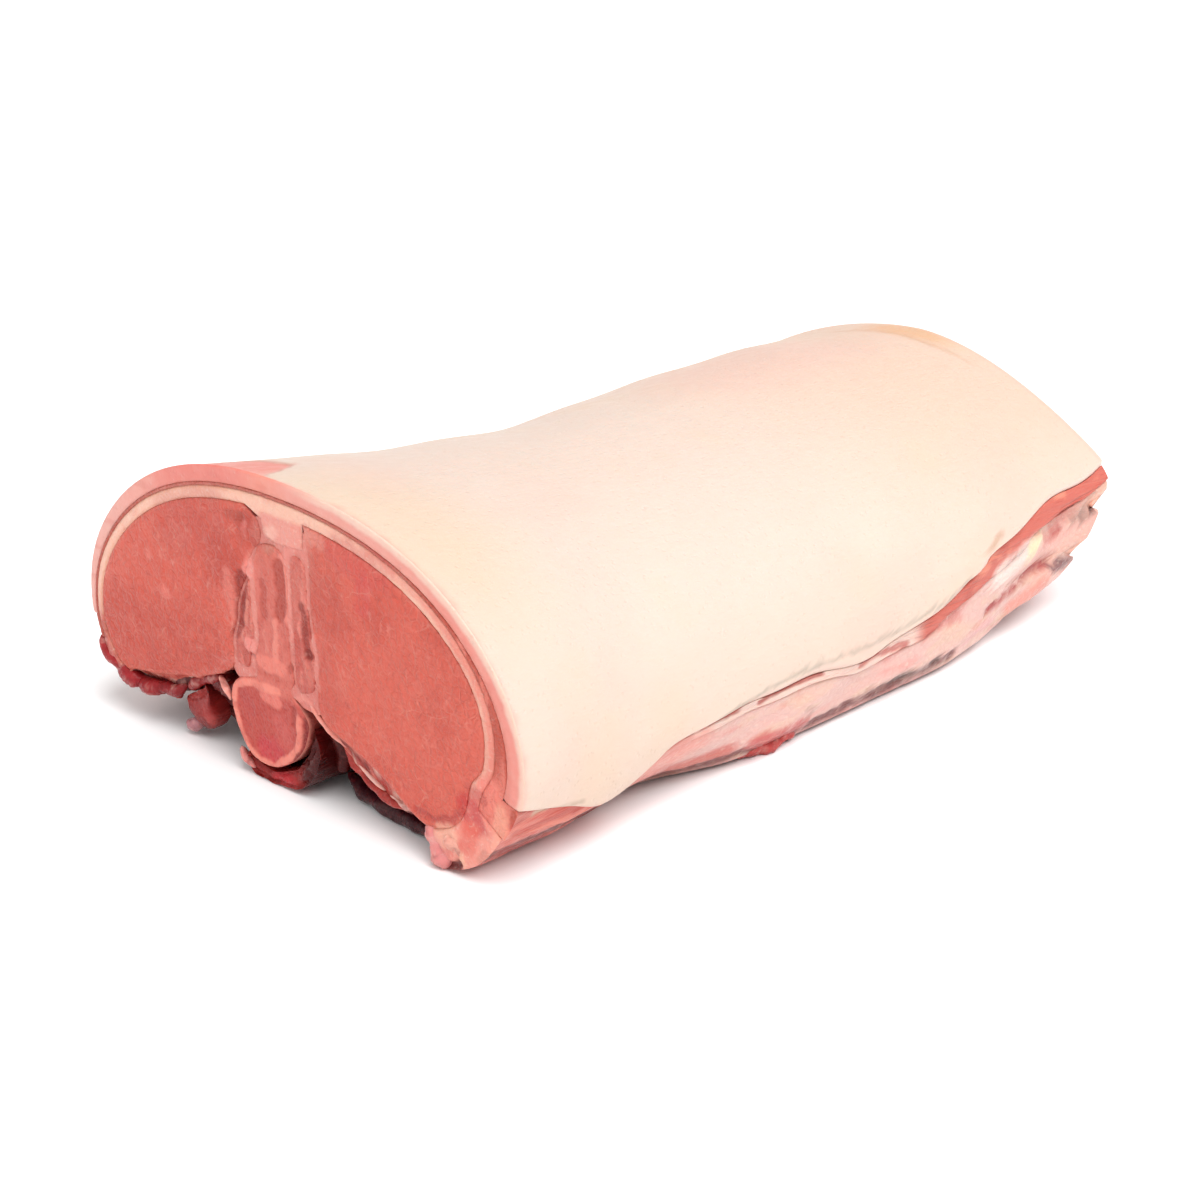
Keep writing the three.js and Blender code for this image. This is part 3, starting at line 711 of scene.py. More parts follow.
# Strokes on the front cut face: points [x, z], half width, softness, colour, strength, lift
FACE_STROKES = [
    ([(-2, 93), (4, 94.5), (14, 95)], 3.5, 4, 0xF6A090, 0.7, 0.1),
    ([(1, 94), (3, 95)], 1.6, 2, 0xFFBEAC, 0.7, 0.2),
    ([(8, 86), (11, 89)], 1.4, 2, 0xFCA094, 0.8, 0.3),
    ([(-1, 88), (1, 89)], 1.6, 1.5, 0xC47462, 0.6, -0.3),
    ([(5, 82), (5.4, 72), (3.4, 65)], 2.1, 1.6, 0xB84C40, 0.9, -0.5),
    ([(1, 82), (0, 76), (-1, 68)], 0.8, 1.4, 0xD6685A, 0.6, 0),
    ([(-4.4, 74), (-4.6, 63)], 1.3, 1.3, 0xC05246, 0.85, -0.4),
    ([(0.5, 62), (0.6, 56), (0.2, 48)], 0.8, 1, 0xF69484, 0.85, 0.25),
    ([(-4.6, 57), (-4.4, 51)], 0.4, 0.8, 0xF08C7C, 0.6, 0.1),
    ([(-10.2, 75), (-9.7, 64), (-9.8, 54)], 0.9, 1.1, 0xF29282, 0.9, 0.3),
    ([(9, 89), (8.8, 78), (8.6, 70), (7.6, 58)], 0.9, 1.1, 0xF49284, 0.9, 0.3),
    ([(13, 86), (13.5, 76), (12, 66)], 2.2, 1.8, 0xDE7668, 0.8, 0),
    ([(18.8, 89), (17.6, 76), (15.4, 68), (14, 62)], 1.1, 1.2, 0xF69284, 0.9, 0.35),
    ([(21, 62), (20.6, 55), (21.6, 50), (23, 46)], 1.2, 1.2, 0xF69688, 0.9, 0.5),
    ([(-15.2, 73), (-16.6, 66), (-17.6, 58)], 1.9, 2.0, 0x9E362C, 0.95, -0.3),
    ([(-19, 55), (-21.4, 51.5)], 1.2, 1.6, 0x9C342C, 0.8, -0.2),
    ([(15.7, 72), (16.4, 62), (17.6, 55)], 1.1, 1.5, 0xA03A30, 0.9, -0.3),
    ([(18, 55.5)], 1.4, 1.2, 0x7A1A1C, 0.9, -0.7),
    ([(-12, 68), (-12.6, 60)], 0.9, 1.4, 0xC85C4E, 0.7, -0.2),
    ([(6.4, 62), (6.2, 55)], 0.9, 1.4, 0xCA5C50, 0.7, -0.2),
    ([(-7, 60), (-6.6, 54)], 0.9, 1.4, 0xCE6054, 0.6, -0.2),
    ([(11.4, 60), (12, 50)], 1.4, 1.8, 0xCE5C50, 0.7, -0.2),
    ([(16.4, 50), (18, 46)], 1.2, 1.4, 0xE88474, 0.7, 0.2),
    ([(-16, 49), (-15, 44)], 1.0, 1.4, 0xC85A4E, 0.6, -0.2),
    ([(-11, 77), (-10.4, 79)], 2.0, 2, 0xFF988C, 0.9, 0.5),
    ([(-21.5, 73), (-21.5, 60)], 1.2, 2, 0xEE8678, 0.7, 0.1),
    ([(19.4, 97), (20.2, 90), (19.6, 80)], 1.5, 2.2, 0xEC8878, 0.8, 0),
    ([(20, 98), (27, 97)], 1.2, 2.6, 0xF09888, 0.7, 0),
    ([(-13, 66), (-13.6, 58)], 0.5, 1.2, 0xF09282, 0.8, 0.1),
    ([(-14, 50.4), (-12.4, 50)], 1.6, 1.2, 0xFF9E94, 0.85, 0.5),
    ([(-8, 46), (3, 46)], 2.2, 1.4, 0xF68A7A, 0.85, 0.2),
    ([(-12.2, 47.4)], 0.8, 0.9, 0xA03C34, 0.85, -0.5),
    ([(7.2, 47.2)], 0.9, 0.9, 0xA84036, 0.85, -0.5),
    ([(-16, 43.6), (-9, 41), (4, 41.6), (12, 43)], 0.5, 0.9, 0xCE6052, 0.7, -0.2),
    ([(14, 46), (15, 40)], 0.5, 0.8, 0xC4564C, 0.6, -0.2),
    ([(19, 44), (18, 39)], 0.5, 0.8, 0xC4564C, 0.6, -0.2),
    ([(10, 37), (13, 39), (17, 38)], 0.7, 0.8, 0xF89484, 0.7, 0.2),
    ([(-30, 40), (-24, 41)], 1.0, 1.4, 0xE27A6E, 0.6, 0.1),
    ([(-46, 29), (-38, 32.5), (-30, 35.5)], 0.8, 1.2, 0xE88072, 0.7, 0.2),
    ([(-10, 92), (-7, 92)], 4, 4, 0xBC5046, 0.6, -0.1),
    ([(-14, 95), (-20, 95)], 1.2, 1.5, 0xA8483A, 0.5, -0.2),
    ([(-11, 93), (-12.5, 91)], 0.8, 1, 0xEE8278, 0.6, 0.1),
    ([(-66, 69)], 1.2, 1.4, 0xF08C7E, 0.8, 0.2),
    ([(-57, 57)], 1.6, 1.6, 0xF28476, 0.8, 0.2),
    ([(-84, 38), (-60, 36), (-40, 44)], 8, 14, LEAN_DARK, 0.45, 0),
    ([(-50, 84), (-30, 92)], 5, 12, 0xCC5C52, 0.5, 0),
    ([(34, 96), (54, 94)], 3, 6, 0xD65654, 0.45, 0),
    ([(26, 84), (30, 72)], 5, 9, 0xC85A4E, 0.5, 0),
    ([(47, 88), (46, 80)], 1.6, 3, 0xDE5854, 0.6, 0),
    ([(60, 50), (80, 60), (88, 44)], 12, 20, LEAN_LIGHT, 0.45, 0.2),
    ([(24, 54), (27, 44)], 4, 8, 0xCE6054, 0.4, 0),
    ([(68, 18), (76, 16.5), (83, 19), (88, 25)], 0.7, 1.2, 0xC4544E, 0.8, -0.5),
    ([(79, 12.5), (82, 14)], 2.6, 2.2, 0xFFB8A0, 0.9, 0.4),
    ([(74, 8), (78, 4)], 3, 3, 0xF69692, 0.7, 0.2),
    ([(91, 27), (94, 22)], 3.4, 2.6, 0xD44A46, 0.9, -0.4),
    ([(92, 18), (90, 12)], 2.6, 3, 0xEE6C5A, 0.85, -0.2),
    ([(100, 34), (103, 26)], 3.6, 4, 0xFC8C7C, 0.8, 0.2),
    ([(106, 30), (103, 14)], 1.8, 2.4, 0xFFAC94, 0.8, 0.3),
    ([(97, 8), (99, 12)], 1.6, 1.6, 0xBA7464, 0.7, -0.3),
    # Partly a real crease and partly painted shade: near black where the flap meets the floor
    ([(81, 1.5), (86, 4)], 1.4, 1, 0x681414, 0.95, -1.6),
    ([(88, 8), (88.5, 4)], 0.8, 0.9, 0xFFC0A4, 0.9, 0.4),
    ([(92, 34), (97, 31)], 1.2, 1.6, 0xCE6056, 0.7, -0.3),
]
RING = [(-23, 32), (-24.2, 26), (-21.6, 17.4), (-17, 10.6), (-11.6, 8), (-4.6, 8.4), (2.8, 12.2), (7.6, 18),
        (10.2, 24.2), (10.6, 30)]
BODY_STROKES = [
    ([(-14, 24), (-2, 22)], 9, 5, MARROW, 0.9, -0.4),
    ([(-18, 30), (-16, 26)], 2.2, 2, 0xBE4E4C, 0.6, -0.3),
    ([(-8, 13.5), (-3, 14)], 3.2, 3, 0xD2424C, 0.85, -0.4),
    ([(2, 20), (0, 24)], 3, 3, 0xD6625C, 0.7, -0.2),
    ([(8, 33), (7.6, 28)], 0.8, 1, 0xAA3E38, 0.8, -0.5),
    ([(-7, 33.4), (-1, 33)], 2.1, 1.2, 0xF68678, 0.85, 0.2),
    ([(-22, 33.5), (-14, 36.2), (-6, 36.6), (1, 37)], 1.1, 0.9, BONE_PALE, 0.9, 0.4),
    ([(8, 14), (13, 20), (14.4, 30)], 1.6, 1.2, 0x842220, 0.95, -0.6),
    (RING, 1.0, 0.8, BONE_PALE, 0.95, 0.45),
]


# Strokes on the right flank: points [distance from the front cut, height], then as above
FLANK_STROKES = [
    ([(-4, 12), (20, 11), (44, 8)], 12, 5, 0xE06A5C, 0.95, 0),
    ([(0, 22), (20, 19), (36, 14)], 1.6, 2.4, 0xF29684, 0.8, 0.3),
    # Painted contact shadow: a dark line low on the flank, where it curves under toward the floor
    ([(-2, 10.4), (20, 11), (36, 11), (48, 10)], 2.0, 2.0, 0x68221C, 0.95, -0.5),
    ([(4, 21), (18, 20), (34, 18.6)], 0.7, 1.6, 0xC44C42, 0.7, -0.3),
    ([(8, 9), (18, 8), (26, 7)], 1.6, 2.6, 0xA83A32, 0.8, -0.6),
    ([(10, 27), (30, 27)], 0.8, 1, 0xD8BAA2, 0.8, -0.3),
    ([(68, 23.5), (84, 27.5), (100, 28), (110, 27.6)], 1.0, 1.0, 0xC46058, 0.9, -0.6),
    ([(72, 21), (84, 24)], 1.8, 2, 0xE0847A, 0.7, 0),
    ([(121, 26.6), (138, 27), (154, 26.4)], 0.8, 1.0, 0xCA6C64, 0.85, -0.5),
    ([(177, 23), (190, 23), (204, 22)], 0.8, 1.2, 0xCE7068, 0.8, -0.5),
    ([(216, 22), (229, 24.6), (240, 28)], 0.8, 1.0, 0xCE7064, 0.85, -0.4),
    # Painted contact shadow along the bottom of the middle of the flank
    ([(56, 11), (75, 7), (92, 5), (122, 6.6), (142, 5.4), (176, 6), (206, 5), (237, 7)],
     1.5, 1.8, 0x70241E, 0.95, -0.8),
    ([(68, 12), (90, 9.6), (112, 10)], 1.8, 2.4, 0xCE5C50, 0.8, 0),
    ([(66, 15), (80, 18), (92, 21)], 3, 5, 0xF6A698, 0.7, 0),
    ([(122, 9), (138, 8), (150, 8)], 2.0, 2.4, 0xCC5450, 0.85, 0.4),
    ([(184, 9), (196, 6)], 1.0, 1.4, 0x966458, 0.7, -0.4),
    # Painted contact shadow: dark brown low on the flank toward the rear
    ([(200, 7.6), (214, 7), (226, 8)], 1.4, 1.6, 0x5A342A, 0.9, -0.6),
    ([(150, 14), (154, 12), (150, 10)], 0.5, 0.9, 0xC8A094, 0.7, -0.4),
    ([(262, 33), (274, 36), (286, 39)], 3.6, 3, 0xFEE8DE, 0.9, 0.4),
    ([(284, 36), (291, 40)], 2.6, 1.6, YELLOW_FAT, 0.95, 0.5),
    ([(258, 19), (272, 23), (286, 26), (300, 27)], 1.5, 1.6, 0xBA4240, 0.95, -1.2),
    ([(296, 38), (306, 40)], 1.6, 1.6, 0xC4544A, 0.9, -0.8),
    ([(300, 45), (318, 47)], 1.2, 1.8, 0xD66C60, 0.8, -0.6),
    ([(276, 14), (290, 16), (300, 18)], 2.4, 2, 0xF09686, 0.8, 0.5),
    ([(318, 42), (328, 42)], 2.2, 1.8, 0x744640, 0.9, -0.5),
    ([(306, 24), (320, 22)], 2.0, 1.8, 0x7A4648, 0.9, -0.5),
    ([(286, 6), (298, 8)], 2.4, 2, 0xBA524A, 0.85, -0.3),
    ([(246, 10), (262, 13)], 1.6, 2, 0xEEA8AC, 0.7, 0.2),
]


# Strokes of painted shade on the skin of the right side, above its lower edge: soft grey lines under the
# rounded edge of the rind
SKIN_EDGE_SHADE = [
    ([(98, 28), (121, 31), (150, 31), (180, 30), (205, 30), (228, 34), (240, 39)],
     0.4, 0.9, 0xBEAC9C, 0.75, 0),
    ([(4, 26), (22, 24.5), (32, 23)], 0.5, 1.2, 0xC4A892, 0.7, 0),
    ([(252, 46), (262, 50)], 0.6, 1.4, 0xCEA084, 0.6, 0),
]


FACE_WARP = 1.6
BODY_WARP = 1.2
# Bounds of the shade painted into the hollows under the loins: the distance from the front cut at which it
# begins to fade out, its top and its left end
HOLLOW_SEEN = 60
HOLLOW_TOP = 44
HOLLOW_LEFT = -26
TORN_TOP = 36
OFF_THE_FLANK = -50


class Paint:
    """Tint and lift of each place, laid on in layers. Colours are codes, 0xRRGGBB."""

    def base(self, colour):
        self.tint = np.broadcast_to(linear(colour), self.p.shape)
        self.lift = 0 * self.x

    def wash(self, colour, share):
        self.tint = blend(self.tint, colour, share)

    def noise(self, size, seed, octaves=3):
        return fbm(self.p, size, octaves, seed)

    def crests(self, colour, strength, size, seed, start, width, where=1, sign=1):
        """Washes a colour over the crests of a noise, from start to full strength over width."""
        self.wash(colour, strength * where * rise(sign * self.noise(size, seed), start, width))

    def hollows(self, *how):
        self.crests(*how, sign=-1)

    def strokes(self, list_of, across, up, warp, seed):
        """Brushes each stroke over the places, along lines that wander a little."""
        p = np.stack([across, up, 0 * across + seed], -1)
        wx = across + warp * fbm(p, 4, 2, seed)
        wz = up + warp * fbm(p, 4, 2, seed + 5)
        uneven = 1 - 0.45 * rise(fbm(p, 5, 3, seed + 9), 0.05, 0.35)
        for points, width, soft, colour, strength, lift in list_of:
            share = strength * uneven * fall(reach(wx, wz, points), width, soft)
            self.wash(colour, share)
            self.lift = self.lift + lift * share

    def painted(self, painter):
        painter(self)
        return self.tint, self.lift


class Face(Paint):
    """Places on a cut face, with how far each is from the rim. fx and fz are as on the front one."""

    def __init__(self, x, z, away, v):
        self.x, self.z, self.away, self.v = x, z, away, v
        self.fx, self.fz = on_front(x, z, v)
        self.front = v < 0.5

    def at(self, apart):
        """Sets how far apart the two ends are for noise."""
        self.p = np.stack([self.x, 0 * self.x + apart * self.v, self.z], -1)

    def face_strokes(self, list_of, warp):
        self.strokes(list_of, self.fx, self.fz, warp, 3 if self.front else 11)

    def finish(self, coarse, fine):
        self.face_strokes(FACE_STROKES, FACE_WARP)
        self.relief(coarse, fine)

    def relief(self, coarse, fine):
        p = np.stack([self.x, 0 * self.x + 50 * self.v, self.z], -1)
        self.lift = self.lift + (coarse * fbm(p, 6, 3, 21) + fine * fbm(p, 1.8, 2, 31))


class Side(Paint):
    """Places along the outside of a piece. front is the distance from the front cut face."""

    def __init__(self, surface, zones, v):
        self.p, self.v = surface, v
        self.x, self.z = surface[..., 0], surface[..., 2]
        self.front = surface[..., 1] + LENGTH / 2
        self.zones = np.broadcast_to(zones, self.x.shape)
        # Painted shade in the hollows is laid only this near the front cut
        self.in_front = fall(self.front, HOLLOW_SEEN, HOLLOW_SEEN)

    def right_strokes(self, list_of, warp, seed):
        self.strokes(list_of, self.front, np.where(self.x > 0, self.z, OFF_THE_FLANK), warp, seed)


def skin_face(f):
    f.at(40)
    f.base(OUTER_FAT)
    q = CURVE_PLACES
    curve = np.concatenate([below(LEFT, q[::-1], f.v, 0), below(RIGHT, q, f.v, 0)])
    deep = reach(f.x, f.z, curve)
    f.wash(OUTER_FAT_RED, 0.8 * rise(4, f.fx, 20) * smooth((f.fx + 75) / 30))
    f.wash(0xFA9680, 0.6 * (1 - smooth(np.abs(f.fx + 2) / 16)))
    f.wash(0xF69486, 0.8 * rise(f.fx, 50, 40))
    f.wash(0xF6B6AA, 0.8 * rise(-f.fx, 70, 20))
    f.crests(0xDE786C, 0.35, (9, 9, 3), 7, 0.1, 0.5)
    f.wash(0xE27C6C, 0.5 * rise(deep, 4.6, 1.6))
    pale = (1 - smooth((deep - 1.4 - 0.8 * f.noise(6, 8, 2)) / 1.6)) * rise(f.fx, 5, 30)
    f.wash(0xFCDECA, 0.75 * pale)
    f.relief(0.25, 0.1)


def seam_face(f):
    f.at(30)
    f.base(0xCC7466)
    f.wash(SEAM_LEAN, rise(f.fx, 60, 20) + rise(-f.fx, 60, 20) * 0.6)
    f.crests(0xEE8A7A, 0.85, (3, 3, 9), 41, -0.05, 0.2, rise(f.fx, 70, 20))
    spot = np.hypot((f.fx - 103.6) / 3, (f.fz - 50) / 11)
    f.wash(0xB84E3E, 0.85 * fall(spot, 0.5, 0.7))
    f.wash(0xE25C52, 0.7 * rise(30, f.fz, 8))
    f.lift = f.lift - 0.1
    f.finish(0.15, 0.12)


def inner_fat_face(f):
    f.at(0)
    f.base(INNER_FAT)
    fx, fz = f.fx, f.fz
    f.wash(INNER_FAT_PINK, smooth((fx + 6) / 5) * rise(22, fx, 5) * rise(100.4, fz, 1.6))
    f.wash(0xFC9686, 0.8 * rise(34, fz, 10) * (fx > 0))
    f.wash(0xF6A092, 0.6 * rise(40, fz, 14) * (fx < 0))
    q = CURVE_PLACES
    deep = reach(f.x, f.z, below(RIGHT, q, f.v, seam_depth(RIGHT, q, f.v)))
    outer = 1 - smooth((deep - 1.6 - 0.7 * f.noise(6, 35, 2)) / 1.4)
    f.wash(0xF49282, 0.8 * outer * rise(fx, 40, 40))
    torn = smooth((39 - fz + 3 * f.noise(4, 33)) / 5) * (fx < -60) * f.front
    f.wash(0xBA3E36, 0.9 * torn)
    f.crests(0xE8786A, 0.6, 3, 34, 0.05, 0.2, torn)
    rim = 1 - smooth(np.abs(f.away - 0.4) / 0.7)
    f.wash(0xECA078, 0.4 * rim * rise(-fx, 5, 20))
    f.crests(0xF49C88, 0.4, 5, 3, 0.1, 0.5)
    f.lift = f.lift + 0.15
    f.finish(0.25, 0.12)


def eye_face(f):
    f.at(30)
    f.base(LEAN)
    f.crests(LEAN_DARK, 0.55, 26, 5, 0.05, 0.5)
    f.hollows(LEAN_LIGHT, 0.55, 26, 5, 0.05, 0.5)
    flecks = noise(f.p, (1.6, 1, 2.4), 77) * 0.5 + 0.5
    f.wash(0xF29688, 0.5 * rise(flecks, 0.86, 0.1))
    f.wash(LEAN_DARK, 0.35 * rise(noise(f.p, (2.2, 1, 3.4), 78), 0.6, 0.25))
    f.wash(0xEC8C7C, 0.4 * fall(f.away, 0.3, 1.2))
    f.lift = 0.7 * (1 - np.exp(-f.away / 5))
    f.finish(0.35, 0.2)


def bone_face(f):
    f.at(20)
    f.base(0xDE7467)
    f.wash(BONE_PINK, rise(f.fz, 78, 8))
    f.crests(0xCC6054, 0.5, (3, 3, 7), 9, 0.05, 0.4)
    f.wash(MARROW, 0.8 * rise(37, f.fz, 3))
    f.face_strokes(BODY_STROKES, BODY_WARP)
    f.finish(0.15, 0.2)


def streaked_face(f):
    f.at(20)
    f.base(0xD66C60)
    f.crests(0xF08E80, 0.7, (2.2, 3, 9), 15, 0.05, 0.35)
    f.finish(0.2, 0.2)


def bed_face(f):
    streaked_face(f)
    f.wash(0xEE8A7C, 0.5 + 0 * f.x)


def dark_face(f):
    f.at(0)
    f.base(0xA02C28)
    f.crests(0xCE4C46, 0.5, 4, 12, 0.1, 0.4)
    # Painted shade: the right part of the crus's front face, toward the hollow, darkened to near black
    f.wash(HOLLOW_SHADE, 0.93 * rise(f.x, 5, 6) * (f.x > HOLLOW_LEFT) * f.front)
    lit = np.hypot((f.x + 2) / 9, (f.z - 4) / 4)
    f.wash(0xCE383E, 0.8 * fall(lit, 0.4, 0.6) * f.front)
    f.relief(1.6, 0.5)


def broad_skin(s):
    """The skin's warm, pink and stained areas."""
    x, z, front = s.x, s.z, s.front
    s.base(SKIN)
    s.wash(SKIN_WARM, 0.35 * rise(70, z, 50))
    s.wash(SKIN_WARM, 0.8 * (1 - smooth(np.hypot((front - 10) / 45, (x - 45) / 60) - 0.3)))
    s.wash(0xF2CCB2, 0.6 * rise(front, 150, 150) * rise(z, 40, 40))
    pink = np.hypot((front - 265) / 75, (x + 15) / 45)
    s.wash(SKIN_PINK, 0.75 * fall(pink, 0.35, 0.75))
    stain = np.hypot((front - 351) / 15, (x - 2) / 34)
    s.wash(SKIN_STAIN, 0.6 * fall(stain, 0.3, 0.7))
    rim = fall(np.abs(front - 342 - 3 * s.noise(14, 61, 2)), 0.5, 2)
    s.wash(0xD69460, 0.35 * (rim * fall(np.abs(x - 4), 26, 20)))
    s.crests(SKIN_PINK, 0.35, 48, 60, 0.15, 0.5)
    s.hollows(SKIN_WARM, 0.5, 36, 66, 0.1, 0.5)


def skin_side(s):
    x, front = s.x, s.front
    broad_skin(s)
    bare = -2 + 23 * rise(2, x, 18) * smooth((x + 62) / 25) + 2.5 * s.noise(7, 70)
    exposed = 1 - smooth((front - bare + 1) / 6)
    s.wash(OUTER_FAT, 0.9 * exposed)
    s.wash(OUTER_FAT_RED, 0.55 * exposed * rise(-x, 2, 14))
    brown = fall(np.abs(front - bare - 1.5), 0.6, 1.4) * rise(4, x, 10)
    s.wash(0xC6947C, 0.5 * brown)
    from_back = LENGTH * (1 - s.v) + 0 * x
    s.wash(0xFAC4B4, 0.5 * fall(from_back, 1, 3))
    s.wash(0xFADACC, 0.7 * (s.zones == EDGE))
    # Painted shade along the lower edge of the skin
    s.right_strokes(SKIN_EDGE_SHADE, 1.0, 6)
    s.lift = (0.35 * s.noise((30, 44, 30), 80) - 0.5 * exposed) * (s.zones == OUTER)


def seam_side(s):
    s.base(0xD87466)
    s.crests(0xF8A086, 0.7, (6, 14, 6), 90, 0.1, 0.35)
    s.hollows(0xB85448, 0.6, (5, 12, 5), 91, 0.15, 0.3)
    right = rise(s.front, 58, 12) * fall(s.front, 206, 10) * (s.x > 0)
    left = rise(s.front, 30, 30) * fall(s.front, 190, 30) * (s.x < 0)
    s.wash(0xFCDED0, 0.92 * np.maximum(right, 0.75 * left))
    s.right_strokes(FLANK_STROKES, 1.2, 2)
    s.lift = s.lift + 0.5 * s.noise((5, 16, 5), 92) * (s.zones == EXPOSED)


def flank_side(s):
    s.base(FLANK_FAT)
    s.crests(0xF0A89E, 0.7, (6, 26, 4), 95, 0.08, 0.35)
    s.hollows(FLANK_CREAM, 0.8, (6, 26, 4), 95, 0.05, 0.35)
    s.crests(0xE28076, 0.6, (7, 18, 5), 96, 0.28, 0.25)
    rear = rise(s.front, 268, 30) * (s.x > 0)
    s.wash(0xF6B09E, 0.5 * rear)
    s.wash(0xCE6E68, 0.5 * rise(7, s.z, 6))
    # Painted contact shadow: dark brown at the very bottom of the right flank, by the floor
    s.wash(0x783830, 0.8 * rise(2.6, s.z, 2.4) * (s.x > 0))
    s.right_strokes(FLANK_STROKES, 1.5, 4)
    s.wash(0xEC968C, 0.5 * (s.zones == INNER))
    relief = s.noise((9, 26, 6), 97) * rise(s.z, 1, 6) - 1.6 * rear * notches(s.z)
    s.lift = s.lift + relief * (s.zones == EXPOSED)


def eye_side(s):
    s.base(0xCD625A)
    s.crests(0xE88C80, 0.6, (5, 60, 5), 101, 0.05, 0.4)
    s.hollows(0xAA3E3A, 0.5, (5, 60, 5), 101, 0.1, 0.4)
    s.crests(0xECB0A6, 0.55, (14, 26, 14), 102, 0, 0.35)
    # Painted shade: the underside turns near black a little way behind the front cut, deep in the hollow
    hollow_shade_mask = smooth((s.front - 7 - 2 * s.noise(6, 105, 2)) / 5) * s.in_front
    s.wash(HOLLOW_SHADE, 0.94 * hollow_shade_mask * (s.z < HOLLOW_TOP))
    torn = fall(s.front, 8, 4) * (s.z < TORN_TOP)
    s.wash(0xBA3A32, 0.95 * torn)
    s.crests(0xE27466, 0.8, (6, 4, 3), 106, 0.02, 0.16, torn)
    s.crests(0xFACCBC, 0.9, (4, 3, 2.4), 107, 0.2, 0.12, torn)
    s.hollows(0x6E1614, 0.85, (5, 4, 3), 109, 0.16, 0.16, torn)
    s.wash(0xFA9684, 0.8 * fall(s.front, 0.6, 1.2) * (s.z < HOLLOW_TOP))
    relief = 0.9 * s.noise((7, 50, 7), 103) + 0.4 * s.noise((3, 9, 3), 104, 2)
    s.lift = (relief + 2.4 * s.noise(5, 108) * torn) * (s.zones == EXPOSED)


def bone_side(s):
    station = (s.front / VERTEBRA_LENGTH) % 1
    disc = fall(np.abs(station - 0.5), 0.06, 0.06)
    low = rise(40, s.z, 4)
    s.base(0xDE867A)
    s.wash(0xF6CEC2, 0.7 * disc * rise(38, s.z, 5))
    s.crests(0xAA3C38, 0.75, (8, 10, 8), 111, 0.05, 0.3)
    s.hollows(0xF4B4A8, 0.5, (8, 10, 8), 111, 0.12, 0.3)
    # Painted shade: dark red just behind the front cut, then near black further in, on the bone's lower side
    # in the hollow
    s.wash(0xB03C34, 0.85 * rise(s.front, 1, 2) * low * s.in_front)
    dark = rise(s.front, 6, 6) * (s.x > -2) * rise(42, s.z, 4)
    s.wash(HOLLOW_SHADE, 0.9 * dark * s.in_front)
    s.wash(0xFC9E8E, 0.8 * fall(s.front, 0.8, 1.4) * low)
    s.lift = 0.8 * s.noise((7, 9, 7), 112) + 0.9 * disc * rise(38, s.z, 5)


def dark_side(s):
    s.base(0xA62E2A)
    s.crests(0xD65C56, 0.6, (4, 16, 4), 121, 0.1, 0.35)
    s.hollows(0x781C1E, 0.7, (4, 16, 4), 121, 0.05, 0.35)
    # Painted shade: behind the front cut and toward the hollow, the sides darken to near black
    dark = np.maximum(rise(s.front, 5, 5), rise(s.x, 6, 4))
    s.wash(HOLLOW_SHADE, 0.94 * dark * (s.in_front * (s.x > HOLLOW_LEFT)))
    s.lift = 1.6 * s.noise((7, 12, 7), 122) - 0.8


# ---- materials

def new_material(name):
    material = bpy.data.materials.new(name)
    material.use_nodes = True
    return material, material.node_tree.nodes["Principled BSDF"]


